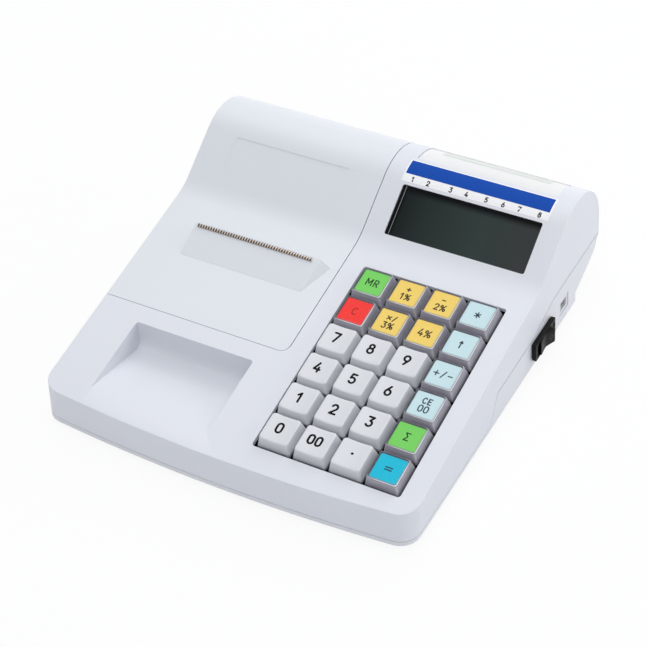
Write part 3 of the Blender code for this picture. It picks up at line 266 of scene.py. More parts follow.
def read_spots(piece):
    """The places of a piece's vertices, one row each."""
    spots = np.empty(len(piece.data.vertices) * 3)
    piece.data.vertices.foreach_get("co", spots)
    return spots.reshape(-1, 3)


def finish_piece(piece, body, look, *nodes):
    """Gives a piece its finish and body, and hides the nodes that it stands for."""
    piece.data.materials.clear()
    piece.data.materials.append(look)
    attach(piece, body)
    if nodes:
        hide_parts(*nodes)
    return piece


def housing_copy(node, name, edge, look, sharp=32):
    """A finished copy of a node that belongs to the housing."""
    return finish_piece(merged_copy(node, name, edge, sharp), "housing", look, node)


upper_abs = moulded_abs("moulded_abs_upper", "#E3E6EC", "#DEE1E9", 0.38)
cover_abs = moulded_abs("moulded_abs_cover", "#E3E7EC", "#DFE3E9", 0.38)
lower_abs = moulded_abs("moulded_abs_lower", "#E4E6EB", "#DEE1E8", 0.42)
upper = housing_copy("upper_housing", "housing_top", 0.0004, upper_abs, 48)

# The lid's right side stands a little further from the housing, and the wedge's rear right corner
# flares out past the bar.
cover_seam, wedge_flare = 0.00015, 0.0024
cover = merged_copy("printer_cover", "cover_lid", 0.0004, 40)
spots = read_spots(cover)
cover_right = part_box("printer_cover")[1].x
spots[:, 0] -= np.where(spots[:, 0] > cover_right - 0.0004, cover_seam, 0)
wedge_corner = np.array(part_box("tear_bar")[1]) + (0.0015, 0.0004, -0.0007)
spots[np.argmin(((spots - wedge_corner) ** 2).sum(1)), 0] += wedge_flare
cover.data.vertices.foreach_set("co", spots.ravel())
finish_piece(cover, "cover", cover_abs, "printer_cover")

# The lower housing's rim lies on the parting line, and behind the ramp it is drawn down a little.
ramp_head, rim_drop = -0.0125, 0.0002
lower = merged_copy("lower_housing", "housing_base", 0.0002, 48)
spots = read_spots(lower)
line_y = np.array((-0.02035, -0.01235, 0.02705, 0.05305, 0.1100))
line_z = np.array((0.0022, 0.0170, 0.0170, 0.0235, 0.0235)) + housing_low.z
on_line = abs(spots[:, 2] - np.interp(spots[:, 1], line_y, line_z)) < 0.0001
spots[:, 2] -= np.where(on_line & (spots[:, 1] > ramp_head), rim_drop, 0)
lower.data.vertices.foreach_set("co", spots.ravel())
finish_piece(lower, "housing", lower_abs, "lower_housing")

# Keys
# Twelve number caps are moulded from off-white ABS with a dished top, and twelve carry a coloured
# card under a clear polycarbonate cover. All press straight down on stems in the key base.
deck_y, deck_z, deck_slope = -0.10655, 0.0210, math.asin(frame["joints"][4]["axis"][1])
base_low, base_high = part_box("key_base")
key_middle = (base_low.x + base_high.x) / 2
key_pitch, key_field = 0.01905, 0.07115
cap_rows = [["register", "add", "subtract", "star"], ["clear", "tax_3", "tax_4", "feed"],
            ["7", "8", "9", "repeat"], ["4", "5", "6", "refund"], ["1", "2", "3", "subtotal"],
            ["0", "00", "point", "total"]]


def on_deck(across, along, height):
    """A place over the deck: up its slope from the front edge, then out along its normal."""
    return np.stack([across, deck_y + along * math.cos(deck_slope) - height * math.sin(deck_slope),
                     deck_z + along * math.sin(deck_slope) + height * math.cos(deck_slope)], -1)


def cap_spot(row, column):
    """Across and along places of a key's middle, rows counted from the back."""
    return key_middle + (column - 1.5) * key_pitch, key_field + (2.5 - row) * key_pitch


def round_outline(half_x, half_y, radius, steps=5, between=5):
    """Outlines of rectangles: each corner a quarter circle about its own centre, with even steps
    between one corner and the next."""
    half_x, half_y, radius = (np.asarray(value, float).reshape(-1, 1) for value in (half_x, half_y, radius))
    turn = np.linspace(0, math.pi / 2, steps + 1)
    corners = []
    for number, (east, north) in enumerate(((1, 1), (-1, 1), (-1, -1), (1, -1))):
        angle = turn + number * math.pi / 2
        corners.append((east * (half_x - radius) + radius * np.cos(angle),
                        north * (half_y - radius) + radius * np.sin(angle)))
    across, along = [], []
    share = np.linspace(0, 1, between + 2)[1:-1]
    for (x, y), (next_x, next_y) in zip(corners, corners[1:] + corners[:1]):
        across += [x, x[:, -1:] + (next_x[:, :1] - x[:, -1:]) * share]
        along += [y, y[:, -1:] + (next_y[:, :1] - y[:, -1:]) * share]
    return np.concatenate(across, 1), np.concatenate(along, 1)


def lofted(name, points, smooth=True):
    """A closed skin through rings of points, its first and last ring shut by a face each."""
    rings, count = points.shape[:2]
    ends = [tuple(range(count))[::-1], tuple((rings - 1) * count + i for i in range(count))]
    return mesh_piece(name, points, grid_faces(rings, count, True).tolist() + ends, smooth)


def cap_rings(top_x, top_y, crown, bend, corner, inner=True):
    """Rings of a cap from its hollow over its foot, up the walls, round the edge and over the top.

    Half width falls in a straight line from foot to crown; the last part of the height turns
    through a quarter circle; the rings over the top shrink towards the middle. A row holds half
    width, half length, corner radius, height and the share of the way up."""
    foot, foot_corner, skirt, thick, ceiling, stem = 0.0091, 0.0013, -0.0032, 0.0011, 0.0027, 0.0021
    wall_h = skirt + np.array([0, 0.3, 0.6, 0.85, 1.0]) * (crown - bend - skirt)
    share = (wall_h - skirt) / (crown - skirt)
    wall = [(foot + (top_x - foot) * s, foot + (top_y - foot) * s,
             foot_corner + (corner - foot_corner) * s, h, s) for s, h in zip(share, wall_h)]
    edge = [(wall[-1][0] - bend * (1 - math.cos(a)), wall[-1][1] - bend * (1 - math.cos(a)), corner,
             crown - bend + bend * math.sin(a), 1.0) for a in np.linspace(0, math.pi / 2, 5)[1:]]
    top = [(edge[-1][0] * s, edge[-1][1] * s, corner * s, crown, 1.0) for s in (0.85, 0.68, 0.5, 0.32, 0.14)]
    hollow = [(stem * 0.6, stem * 0.6, stem * 0.599, -0.0073, 0), (stem, stem, stem * 0.999, -0.0071, 0),
              (stem, stem, stem * 0.999, ceiling, 0), (top_x - thick, top_y - thick, 0.0010, ceiling, 0),
              (foot - thick, foot - thick, 0.0010, skirt, 0)]
    return np.array((hollow if inner else []) + wall + edge + top)


cap_reach, cap_crown, cap_dish, cap_lean = 0.0075, 0.0045, 0.0007, 0.0003


def cap_piece(name, row, column, rings, dish=0.0, lean=0.0):
    """A cap from its rings: the dish takes away dish * (1 - (x / half)^2) of the height at the top."""
    across, along = round_outline(rings[:, 0], rings[:, 1], rings[:, 2])
    height = rings[:, 3:4] - dish * (1 - (across / cap_reach) ** 2).clip(0) * rings[:, 4:5] ** 2
    middle, field = cap_spot(row, column)
    return lofted(name, on_deck(middle + across, field + along + lean * rings[:, 4:5], height))


def bow(x, y, wide, tall, start=0, end=360, steps=16):
    """Part of an ellipse's outline: its middle, half width and height, and its two angles in degrees."""
    angle = np.radians(np.linspace(start, end, steps))
    return np.stack([x + wide * np.cos(angle), y + tall * np.sin(angle)], -1)


def strokes(*paths):
    """Straight pen strokes from rows of x, y, x, y: each two points joined by a stroke of its own."""
    return [np.reshape(path, (-1, 2))[i:i + 2] for path in paths for i in range(len(path) // 2 - 1)]


# Each sign is a list of pen paths in a box one unit high, 0.6 wide for a figure.
signs = {
    "0": [np.concatenate([bow(0.3, 0.7, 0.27, 0.3, 0, 180, 10), bow(0.3, 0.3, 0.27, 0.3, 180, 360, 10),
                          [[0.57, 0.7]]])],
    "1": strokes((0.08, 0.74, 0.34, 1.0, 0.34, 0.0)),
    "2": [np.concatenate([bow(0.29, 0.71, 0.26, 0.29, 165, -35, 12), [[0.04, 0.0]]])]
    + strokes((0.04, 0.0, 0.58, 0.0)),
    "3": strokes((0.06, 1.0, 0.54, 1.0, 0.28, 0.6)) + [bow(0.27, 0.3, 0.28, 0.3, 88, -145, 14)],
    "4": strokes((0.34, 1.0, 0.02, 0.26, 0.6, 0.26), (0.44, 0.5, 0.44, 0.0)),
    "5": strokes((0.52, 1.0, 0.12, 1.0, 0.07, 0.56)) + [bow(0.28, 0.32, 0.28, 0.31, 135, -145, 14)],
    "6": strokes((0.4, 1.0, 0.08, 0.47)) + [bow(0.3, 0.3, 0.27, 0.3, steps=18)],
    "7": strokes((0.02, 1.0, 0.58, 1.0, 0.22, 0.0)),
    "8": [bow(0.3, 0.77, 0.22, 0.23), bow(0.3, 0.28, 0.27, 0.28, steps=18)],
    "9": [bow(0.3, 0.7, 0.27, 0.3, steps=18)] + strokes((0.52, 0.53, 0.2, 0.0)),
    ".": strokes((0.385, 0.5, 0.415, 0.5)),
    "C": [bow(0.33, 0.5, 0.3, 0.5, 48, 312, 18)],
    "+": strokes((0.08, 0.5, 0.72, 0.5), (0.4, 0.18, 0.4, 0.82)),
    "-": strokes((0.1, 0.5, 0.6, 0.5)),
    "x": strokes((0.1, 0.2, 0.7, 0.8), (0.1, 0.8, 0.7, 0.2)),
    "*": strokes((0.4, 0.1, 0.4, 0.9), (0.07, 0.3, 0.73, 0.7), (0.07, 0.7, 0.73, 0.3)),
    "^": strokes((0.3, 0.0, 0.3, 1.0), (0.3, 1.0, 0.12, 0.72), (0.3, 1.0, 0.48, 0.72)),
    "%": strokes((0.1, 0.0, 0.7, 1.0)) + [bow(0.17, 0.78, 0.14, 0.2, steps=14),
                                          bow(0.63, 0.22, 0.14, 0.2, steps=14)],
    "s": strokes((0.6, 1.0, 0.06, 1.0, 0.4, 0.5, 0.06, 0.0, 0.6, 0.0)),
    "=": strokes((0.08, 0.34, 0.92, 0.34), (0.08, 0.68, 0.92, 0.68)),
    "/": strokes((0.06, 0.0, 0.5, 1.0)),
    "E": strokes((0.52, 1.0, 0.08, 1.0, 0.08, 0.0, 0.52, 0.0), (0.08, 0.52, 0.46, 0.52)),
    "M": strokes((0.06, 0.0, 0.06, 1.0, 0.4, 0.3, 0.74, 1.0, 0.74, 0.0)),
    "R": strokes((0.08, 0.0, 0.08, 1.0))
    + [np.concatenate([[[0.08, 1.0]], bow(0.3, 0.73, 0.24, 0.27, 90, -90, 10), [[0.08, 0.46]]])]
    + strokes((0.3, 0.46, 0.56, 0.0)),
    "I": strokes((0.3, 0.0, 0.3, 1.0)),
    "O": [bow(0.3, 0.5, 0.34, 0.5, steps=24)],
}
sign_width = {"1": 0.5, "-": 0.7, "+": 0.8, "x": 0.8, "*": 0.8, "%": 0.8, "s": 0.66, "=": 1.0,
              "C": 0.62, "/": 0.56, "M": 0.8}


def pen_line(path, pen):
    """A pen path as a ribbon with round ends: past each end the half width follows a circle."""
    path = np.asarray(path, float)
    step = np.diff(path, axis=0)
    step /= np.hypot(*step.T)[:, None]
    bulge = np.cos(np.linspace(math.pi / 2, 0, 6)[:-1]) * pen
    past = np.sqrt(np.clip(pen ** 2 - bulge ** 2, 0, None))[:, None]
    line = np.concatenate([path[0] - step[0] * past, path, path[-1] + step[-1] * past[::-1]])
    turned_step = (step[:-1] + step[1:]) / np.hypot(*(step[:-1] + step[1:]).T)[:, None]
    along = np.concatenate([np.repeat(step[:1], len(past) + 1, 0), turned_step,
                            np.repeat(step[-1:], len(past) + 1, 0)])
    thin = np.maximum(bulge, pen * 0.02)
    half = np.concatenate([thin, np.full(len(path), pen), thin[::-1]])[:, None]
    normal = np.stack([-along[:, 1], along[:, 0]], -1)
    return np.stack([line + normal * half, line - normal * half], 1)


def lettering(name, text, size, pen, surface, *spot):
    """Signs in a row about the middle of a spot; surface turns flat places into places in space."""
    gap_share = 0.24
    widths = [sign_width.get(sign, 0.6) for sign in text]
    start = -(sum(widths) + gap_share * (len(text) - 1)) / 2
    points, faces, count = [], [], 0
    for sign, width in zip(text, widths):
        for path in signs[sign]:
            ribbon = (pen_line(path, pen / size) + (start, -0.5)) * size
            points.append(surface(ribbon[..., 0], ribbon[..., 1], *spot).reshape(-1, 3))
            faces.append(grid_faces(len(ribbon), 2, False)[:, ::-1] + count)
            count += ribbon.shape[0] * 2
        start += width + gap_share
    return mesh_piece(name, np.concatenate(points), np.concatenate(faces).tolist(), False)


def printed_ink(name, colour, roughness=0.42, uneven=0.08):
    """Screen or pad printed ink: nearly flat in colour, a little thin in places, with a low gloss."""
    made, tree, where = new_material(name)
    film = noise(tree, where, 900.0, 3.0)
    level = spread(tree, film, 0.35, 0.75, 1 - uneven, 1 + 2 * uneven)
    thin = add(tree, "HueSaturation", {"Value": level, "Color": colour})
    return surfaced(made, {
        "Roughness": roughness, "IOR": 1.5, "Specular IOR Level": 0.15, "Base Color": thin.outputs[0],
        "Normal": bumped(tree, film, 0.15, 0.00001)})


def printed_card(name, colour, shade):
    """Coloured card behind a clear cover: matt, with faint print grain about 0.2 mm across."""
    made, tree, where = new_material(name)
    fibre = noise(tree, where, 4500.0, 2.0)
    return surfaced(made, {"Roughness": 0.6, "IOR": 1.45, "Specular IOR Level": 0.2,
                           "Base Color": blended(tree, fibre, colour, shade)})


def clear_cap_cover(name):
    """Polycarbonate moulded clear: the top shows the card and the walls look smoky, and the rim carries
    a painted highlight, near white and opaque. Two values on its points say how much a place is wall
    or painted rim highlight."""
    made, tree, where = new_material(name)
    rim_highlight = add(tree, "Attribute", {"attribute_name": "rim_highlight"}).outputs["Fac"]
    wall = add(tree, "Attribute", {"attribute_name": "wall"}).outputs["Fac"]
    haze = noise(tree, where, 350.0, 3.0)
    smoke = blended(tree, haze, "#B4B2BE", "#CFCDD7")
    return surfaced(made, {
        "IOR": 1.58, "Base Color": blended(tree, rim_highlight, smoke, "#FAFBFD"),
        "Roughness": spread(tree, haze, 0.3, 0.7, 0.06, 0.16),
        "Alpha": maths(tree, "MAXIMUM", spread(tree, wall, 0.0, 1.0, 0.03, 0.78), rim_highlight)})


def mark_points(piece, name, values):
    """Stores one number per point of a piece, for its material to read."""
    held = piece.data.attributes.new(name, "FLOAT", "POINT")
    held.data.foreach_set("value", np.asarray(values, np.float32).ravel())


def cap_top(across, along, middle, field):
    """The dished top of a number cap, 0.03 mm up, where the figure lies."""
    left, back = 0.0006, 0.0009
    dip = cap_dish * (1 - ((across - left) / cap_reach) ** 2)
    return on_deck(middle + across - left, field + back + along, cap_crown + 0.00003 - dip)


def card_top(across, along, middle, field):
    """The flat card of a key, 0.02 mm up."""
    return on_deck(middle + across, field + along, np.full_like(across, card_height + 0.00002))


number_rings = cap_rings(cap_reach, 0.0076, cap_crown, 0.0007, 0.0017)
cap_abs = moulded_abs("moulded_abs_caps", "#DFE1E5", "#D8DBE0", 0.42, 0.0005, 0.00002)
glyph_ink = printed_ink("printed_black", "#08080B", 0.55)

# The clear cover, and the hollow core under it that holds the card: the core's walls draw in from
# the foot to leave the cover free.
legend_rings = cap_rings(0.0077, 0.0077, 0.0038, 0.0005, 0.0011)
core_rings = cap_rings(0.0071, 0.0071, 0.0030, 0.0002, 0.0009, False)
core_rings[:5, 0:2] = np.minimum(core_rings[:5, 0:2], 0.0083 - 0.0012 * core_rings[:5, 4:5])
core_hollow = [(0.0026, 0.0026, 0.0025, 0.00275, 0), (0.0064, 0.0064, 0.0008, 0.00275, 0),
               (0.0076, 0.0076, 0.0010, -0.0028, 0)]
core_rings = np.concatenate([core_hollow, core_rings[core_rings[:, 3] > -0.0031]])
card_height = 0.0032
card_rings = np.array([(half, half, corner, height, 1) for half, corner, height in (
    (0.0069, 0.0009, 0.00302), (0.0069, 0.0009, card_height), (0.0064, 0.0007, card_height),
    (0.002, 0.0003, card_height))])

# The cover's rings by number: the foot's edge, the last ring of the wall, the end of the rounded
# edge, and the ring where the painted highlight is brightest. The painted highlight also runs along
# the foot and up the wall's corners, and is brighter on the sides that face the lamps.
foot_ring, wall_end, edge_end, highlight_ring = 5, 9, 12, 11.0
across, along = round_outline(legend_rings[:, 0], legend_rings[:, 1], legend_rings[:, 2])
ring = np.arange(len(legend_rings))[:, None]
near, far = np.minimum(np.abs(across), np.abs(along)), np.maximum(np.abs(across), np.abs(along))
lamp_side_share = np.clip((across - along) / np.hypot(across, along) * 0.6 + 0.6, 0.3, 1)
corner = np.clip(near / far * 8 - 7, 0, 1)
on_wall = (ring > foot_ring) & (ring <= wall_end)
foot = np.where(ring == foot_ring, 0.75, np.where(on_wall, 0.6 * corner, 0))
rim_highlight_share = np.maximum(np.exp(-((ring - highlight_ring) / 1.5) ** 2), foot) * lamp_side_share
wall_share = np.where(ring < wall_end, 1.0, np.where(ring < edge_end, 0.7, 0.0)) + 0 * across

cover_clear = clear_cap_cover("clear_polycarbonate")
core_grey = moulded_abs("moulded_abs_cap_core", "#9E9DA8", "#8E8D99", 0.5, 0.0006)
cards = {"green": ("#7FDC66", "#72D05B", "#174D16"), "yellow": ("#FBDC77", "#F3D062", "#3D310C"),
         "red": ("#FF3B33", "#F52F29", "#B8150F"), "blue": ("#D3ECF0", "#C5E3EA", "#2F444E"),
         "cyan": ("#00C6E2", "#00B8D8", "#083C56")}
card_looks = {
    tone: (printed_card("printed_card_" + tone, ground, shade), printed_ink("printed_sign_" + tone, ink))
    for tone, (ground, shade, ink) in cards.items()}
legends = {"register": ("green", ["MR"]), "add": ("yellow", ["+", "1%"]), "subtract": ("yellow", ["-", "2%"]),
           "star": ("blue", ["*"]), "clear": ("red", ["C"]), "tax_3": ("yellow", ["x/", "3%"]),
           "tax_4": ("yellow", ["4%"]), "feed": ("blue", ["^"]), "repeat": ("blue", ["+/-"]),
           "refund": ("blue", ["CE", "00"]), "subtotal": ("green", ["s"]), "total": ("cyan", ["="])}
for row, names in enumerate(cap_rows):
    for column, name in enumerate(names):
        key, (middle, field) = "key_" + name, cap_spot(row, column)
        if name not in legends:
            cap = cap_piece("cap_" + name, row, column, number_rings, cap_dish, cap_lean)
            finish_piece(cap, key, cap_abs, key)
            text, pen = (".", 0.00066) if name == "point" else (name, 0.00056)
            figure = lettering("figure_" + name, text, 0.0048 if name == "00" else 0.0052, pen,
                               cap_top, middle, field)
            finish_piece(figure, key, glyph_ink)
            continue
        tone, lines = legends[name]
        clear = finish_piece(cap_piece("clear_" + name, row, column, legend_rings), key, cover_clear, key)
        mark_points(clear, "rim_highlight", rim_highlight_share)
        mark_points(clear, "wall", wall_share)
        finish_piece(cap_piece("core_" + name, row, column, core_rings), key, core_grey)
        finish_piece(cap_piece("card_" + name, row, column, card_rings), key, card_looks[tone][0])
        for line, text in enumerate(lines):
            up, tall = (0.0, 0.0040) if len(lines) == 1 else ((0.0024, 0.0031), (-0.0022, 0.0035))[line]
            sign = lettering("sign_%s_%d" % (name, line), text, tall, 0.00034, card_top, middle, field + up)
            finish_piece(sign, key, card_looks[tone][1])

# Display
# A tinted acrylic window in the steep face, with the liquid crystal glass close behind it: near
# black, with painted light that turns it greenish past its middle, painted shade along the glass's
# upper and left edge, and the glass's own edge showing at the left.
face_y, face_z, face_slope, face_flat, crest_radius = 0.03578, 0.04474, math.radians(32.4), 0.0349, 0.0280
display_middle, display_half_x, display_half_y = 0.02005, 0.0384, 0.01375
display_left = key_middle - display_half_x


def on_face(across, along, lift):
    """A place on the display face: up its slope from the bend, then round the crest's arc, then out."""
    flat = np.minimum(along, face_flat)
    turn = face_slope - np.maximum(along - face_flat, 0) / crest_radius
    y = (face_y + flat * math.cos(face_slope) + crest_radius * (math.sin(face_slope) - np.sin(turn))
         - lift * np.sin(turn))
    z = (face_z + flat * math.sin(face_slope) + crest_radius * (np.cos(turn) - math.cos(face_slope))
         + lift * np.cos(turn))
    return np.stack([across + 0 * y, y, z], -1)


def face_plate(name, middle_x, middle_along, rings, between=5):
    """A plate on the face from rings of half width, half length, corner radius and lift."""
    rings = np.array(rings)
    across, along = round_outline(rings[:, 0], rings[:, 1], rings[:, 2], 5, between)
    return lofted(name, on_face(middle_x + across, middle_along + along, rings[:, 3:4] + 0 * across), False)


def tinted_window(name):
    """Tinted acrylic over dark glass: smooth gloss, with painted light from near black at the left to
    greenish past the middle, and painted shade in a black band along the glass's upper and left edge."""
    made, tree, where = new_material(name)
    across = add(tree, "SeparateXYZ", {"Vector": where}).outputs["X"]
    # Painted light: the glass runs from near black at the left to greenish grey at the right.
    tone = spread(tree, across, display_left, key_middle + display_half_x)
    light_ramp = add(tree, "ValToRGB", {"Fac": tone})
    stops = light_ramp.color_ramp.elements
    stops[0].color, stops[1].color = linear("#141819"), linear("#3B3D3D")
    stops.new(0.22).color = linear("#27312F")
    stops.new(0.62).color = linear("#34403D")
    uphill = (0, math.cos(face_slope), math.sin(face_slope))
    up = add(tree, "VectorMath", {"operation": "DOT_PRODUCT", 0: where, 1: uphill}).outputs["Value"]
    top = face_y * uphill[1] + face_z * uphill[2] + display_middle + display_half_y
    # Painted shade: black bands along the upper and left edge, where the frame's walls shade the glass.
    edge = spread(tree, up, top - 0.0048, top - 0.0016)
    left = spread(tree, across, display_left + 0.0042, display_left + 0.0022)
    frame_shade = maths(tree, "MAXIMUM", edge, left)
    smear = noise(tree, where, 60.0, 4.0)
    return surfaced(made, {
        "IOR": 1.49, "Specular IOR Level": 0.2, "Base Color": blended(tree, frame_shade, light_ramp.outputs[0], "#07080A"),
        "Roughness": spread(tree, smear, 0.35, 0.7, 0.10, 0.20)})


def liquid_crystal(name, colour, shade):
    """Liquid crystal glass at rest: two panes with a faint even tone and a dull gloss."""
    made, tree, where = new_material(name)
    cells = noise(tree, where, 220.0, 2.0)
    return surfaced(made, {"Roughness": 0.25, "IOR": 1.5, "Base Color": blended(tree, cells, colour, shade)})


# The lens stands in the opening and widens behind the wall into a flange.
lens_x, lens_y = display_half_x - 0.00012, display_half_y - 0.00012
window = face_plate("display_glass", key_middle, display_middle, [
    (0.0398, 0.01515, 0.0005, -0.00428), (0.0404, 0.01575, 0.0008, -0.0042),
    (0.0404, 0.01575, 0.0008, -0.0029), (0.0402, 0.01555, 0.0007, -0.0028),
    (lens_x, lens_y, 0.0007, -0.0028), (lens_x, lens_y, 0.0007, -0.00078),
    (lens_x - 0.0002, lens_y - 0.0002, 0.0006, -0.0006), (lens_x - 0.004, lens_y - 0.004, 0.0004, -0.0006)])
finish_piece(window, "housing", tinted_window("tinted_acrylic"), "display_window")
edge_line = face_plate("display_glass_edge", display_left + 0.0021, display_middle, [
    (0.00010, 0.0131, 0.00005, -0.00064), (0.00016, 0.0132, 0.0001, -0.00060),
    (0.00014, 0.01318, 0.0001, -0.00057)])
finish_piece(edge_line, "housing", printed_ink("glass_edge_grey", "#8B9093", 0.3))
panel = housing_copy("display_module", "display_panel", 0.0003,
                     liquid_crystal("dark_liquid_crystal", "#2A3331", "#222A29"))

# Label band and legend marks
# A white printed film over the display with a plain blue band on it and one small mark for each
# digit place. The film follows the face and then turns over the crest with it.
film_white = printed_ink("printed_film_white", "#FAFAFC", 0.4, 0.01)
band_blue = printed_ink("printed_band_blue", "#0449AC", 0.55, 0.04)
film = face_plate("label_film", key_middle, 0.0421, [
    (0.0402, 0.0065, 0.0006, 0.0), (0.0404, 0.0067, 0.0008, 0.00001), (0.0404, 0.0067, 0.0008, 0.00003),
    (0.0380, 0.0046, 0.0006, 0.00003), (0.0358, 0.0024, 0.0004, 0.00003)], 40)
finish_piece(film, "housing", film_white)
band = face_plate("label_band", key_middle - 0.0001, 0.04405, [
    (0.0394, 0.0041, 0.0002, 0.00003), (0.0395, 0.0042, 0.0003, 0.00004), (0.0395, 0.0042, 0.0003, 0.00006),
    (0.0376, 0.0024, 0.0003, 0.00006), (0.0360, 0.0008, 0.0002, 0.00006)], 40)
finish_piece(band, "housing", band_blue)


def film_top(across, along, spot):
    """The film's surface round a mark, 0.02 mm up."""
    return on_face(spot + across, 0.0373 + along, np.full_like(across, 0.00005))


for number, spot in enumerate((0.0156, 0.0243, 0.0369, 0.0456, 0.0565, 0.0657, 0.0744, 0.0853), 1):
    mark = lettering("digit_mark_%d" % number, str(number), 0.0024, 0.00030, film_top, spot)
    finish_piece(mark, "housing", glyph_ink)

# Customer strip
# A thick strip of clear acrylic fills its opening in the crest and is bent to its arc, with a pale
# liquid crystal glass near its face and its module behind, for the customer's side.


def clear_acrylic(name, colour, cover):
    """Cast acrylic, clear and slightly milky from the moulding, glossy with faint wipe marks."""
    made, tree, where = new_material(name)
    smear = noise(tree, where, 90.0, 4.0)
    return surfaced(made, {"Base Color": colour, "Alpha": cover, "IOR": 1.49,
                           "Roughness": spread(tree, smear, 0.35, 0.7, 0.06, 0.18)})


strip_low, strip_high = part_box("customer_window")
strip_x, strip_half = (strip_low.x + strip_high.x) / 2, (strip_high.x - strip_low.x) / 2
strip_long, glass_inset, glass_long = 0.0125, 0.0110, 0.0050
strip_rings = [(0.0002, 0.0002, 0.0004, -0.0043), (0, 0, 0.0005, -0.0042), (0, 0, 0.0005, -0.0029),
               (0.0001, 0.0001, 0.0005, -0.0028), (0.0022, 0.0022, 0.0004, -0.0028),
               (0.0022, 0.0022, 0.0004, -0.0007), (0.0023, 0.0023, 0.0004, -0.0005)]
strip_rings += [(inset, inset, corner, -0.0004) for inset, corner in (
    (0.0025, 0.0004), (0.0045, 0.0004), (0.0070, 0.0003), (0.0095, 0.0002), (0.0120, 0.0001))]
strip = face_plate("customer_lens_strip", strip_x, 0.06135, [
    (strip_half - x, strip_long - y, corner, lift) for x, y, corner, lift in strip_rings], 24)
finish_piece(strip, "housing", clear_acrylic("clear_acrylic", "#FBFCFD", 0.86), "customer_window")
glass_steps = [(0, -0.00044), (0, -0.00037)]
glass_steps += [(step, -0.00036) for step in (0.0001, 0.0012, 0.0024, 0.0036, 0.0046)]
glass_rings = [(strip_half - glass_inset - step, glass_long - step, 0.0008 - step / 8, lift)
               for step, lift in glass_steps]
finish_piece(face_plate("customer_glass", strip_x, 0.0657, glass_rings, 24), "housing",
             liquid_crystal("reflective_liquid_crystal", "#D6DCD6", "#CDD4CE"))
module = housing_copy("customer_module", "customer_panel", 0.0003,
                      liquid_crystal("pale_liquid_crystal", "#E4E8E6", "#DADEDC"))

# Tear bar
# A strip of hard bronze-toned steel, stamped with a comb of teeth that cuts the ticket. It sits in
# the wedge's rear edge, its teeth bent up a little, with painted shade on one flank of each tooth
# and a painted highlight on the other.
tooth_pitch = 0.0015
bar_low, bar_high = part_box("tear_bar")
bar_slope = deck_slope + math.atan2(0.0045, 0.0186)
bar_count = round((bar_high.x - bar_low.x) / tooth_pitch)


def stamped_comb(name):
    """The bar's cross-section carried along its length: the rear edge's depth rises and falls in a
    triangle wave once a tooth, and its thickness thins towards the tips."""
    across = np.linspace(bar_low.x + 0.0004, bar_high.x - 0.0004, bar_count * 8 + 1)[:, None]
    wave = 1 - np.abs(((across - bar_low.x) / (bar_high.x - bar_low.x) * bar_count) % 1 * 2 - 1)
    wave = np.clip(wave * 1.25, 0, 1)
    depth = np.array([[0, 0, 0.0006, 0.0012, 1, 1, 0.0012, 0.0006]])
    along = np.where(depth == 1, 0.0010 + 0.0008 * wave, depth * 0.8)
    half = np.array([[-0.00022, 0.00022, 0.0003, 0.0003, 0.00008, -0.00008, -0.0003, -0.0003]])
    height = half + np.where(depth == 1, 0.0001 * wave, 0)
    y = bar_low.y + 0.00050 + along * math.cos(bar_slope) - height * math.sin(bar_slope)
    z = bar_low.z + 0.00036 + along * math.sin(bar_slope) + height * math.cos(bar_slope)
    return lofted(name, np.stack([across + 0 * y, y, z], -1)[:, ::-1], False)


def stamped_steel(name, colour, shade, roughness):
    """Spring steel tempered bronze: metal with painted shade and highlight on the flanks of each tooth, and
    fine rolling lines in its gloss.
    """
    made, tree, where = new_material(name)
    across = add(tree, "SeparateXYZ", {"Vector": where}).outputs["X"]
    # Painted shade and highlight: a dark and a light stripe for each tooth.
    wave = maths(tree, "SINE", maths(tree, "MULTIPLY", across, 2 * math.pi / tooth_pitch))
    lines = noise(tree, where, 700.0, 2.0)
    return surfaced(made, {
        "Metallic": 1.0, "Base Color": blended(tree, spread(tree, wave, -0.4, 0.6), shade, colour),
        "Roughness": spread(tree, lines, 0.3, 0.7, roughness - 0.06, roughness + 0.1)})


bar = finish_piece(stamped_comb("tear_comb"), "cover",
                   stamped_steel("tempered_steel_bronze", "#E4D3C4", "#4A3C34", 0.42), "tear_bar")

# Power switch
# A black nylon rocker switch snapped into the right wall: a bezel, its body, and a rocker that
# tips on a pivot. Its off half stands out, and each half carries a small grey mark.


def moulded_nylon(name, colour, roughness):
    """Glass-filled nylon or PBT: dark, with an even sheen, a fine grain and paler worn high spots."""
    made, tree, where = new_material(name)
    fine = noise(tree, where, 1 / 0.0007, 3.0, 0.6)
    cloud = noise(tree, where, 70.0, 3.0)
    tint = add(tree, "HueSaturation", {"Color": colour, "Value": spread(tree, cloud, 0.3, 0.75, 0.85, 1.5)})
    return surfaced(made, {
        "IOR": 1.53, "Specular IOR Level": 0.15, "Base Color": tint.outputs[0],
        "Roughness": spread(tree, cloud, 0.3, 0.7, roughness - 0.08, roughness + 0.08),
        "Normal": bumped(tree, fine, 0.4, 0.00002)})


switch_black = moulded_nylon("moulded_nylon_black", "#070708", 0.42)
bezel = housing_copy("power_switch", "switch_bezel", 0.0004, switch_black)
pivot = frame["joints"][1]["pos_m"]
rocker_turn, rocker_lobe, rocker_bend = math.radians(-9), math.tan(math.radians(16)), 0.0009
rocker_half, rocker_valley, rocker_tall = 0.0063, 0.0053, 0.0045


def on_rocker(run, up, stand):
    """A place on the rocker: along its length, up, and out from its pivot, turned by its rest tilt."""
    return np.stack([pivot[0] + stand * math.cos(rocker_turn) - run * math.sin(rocker_turn),
                     pivot[1] + stand * math.sin(rocker_turn) + run * math.cos(rocker_turn),
                     pivot[2] + up + 0 * run], -1)


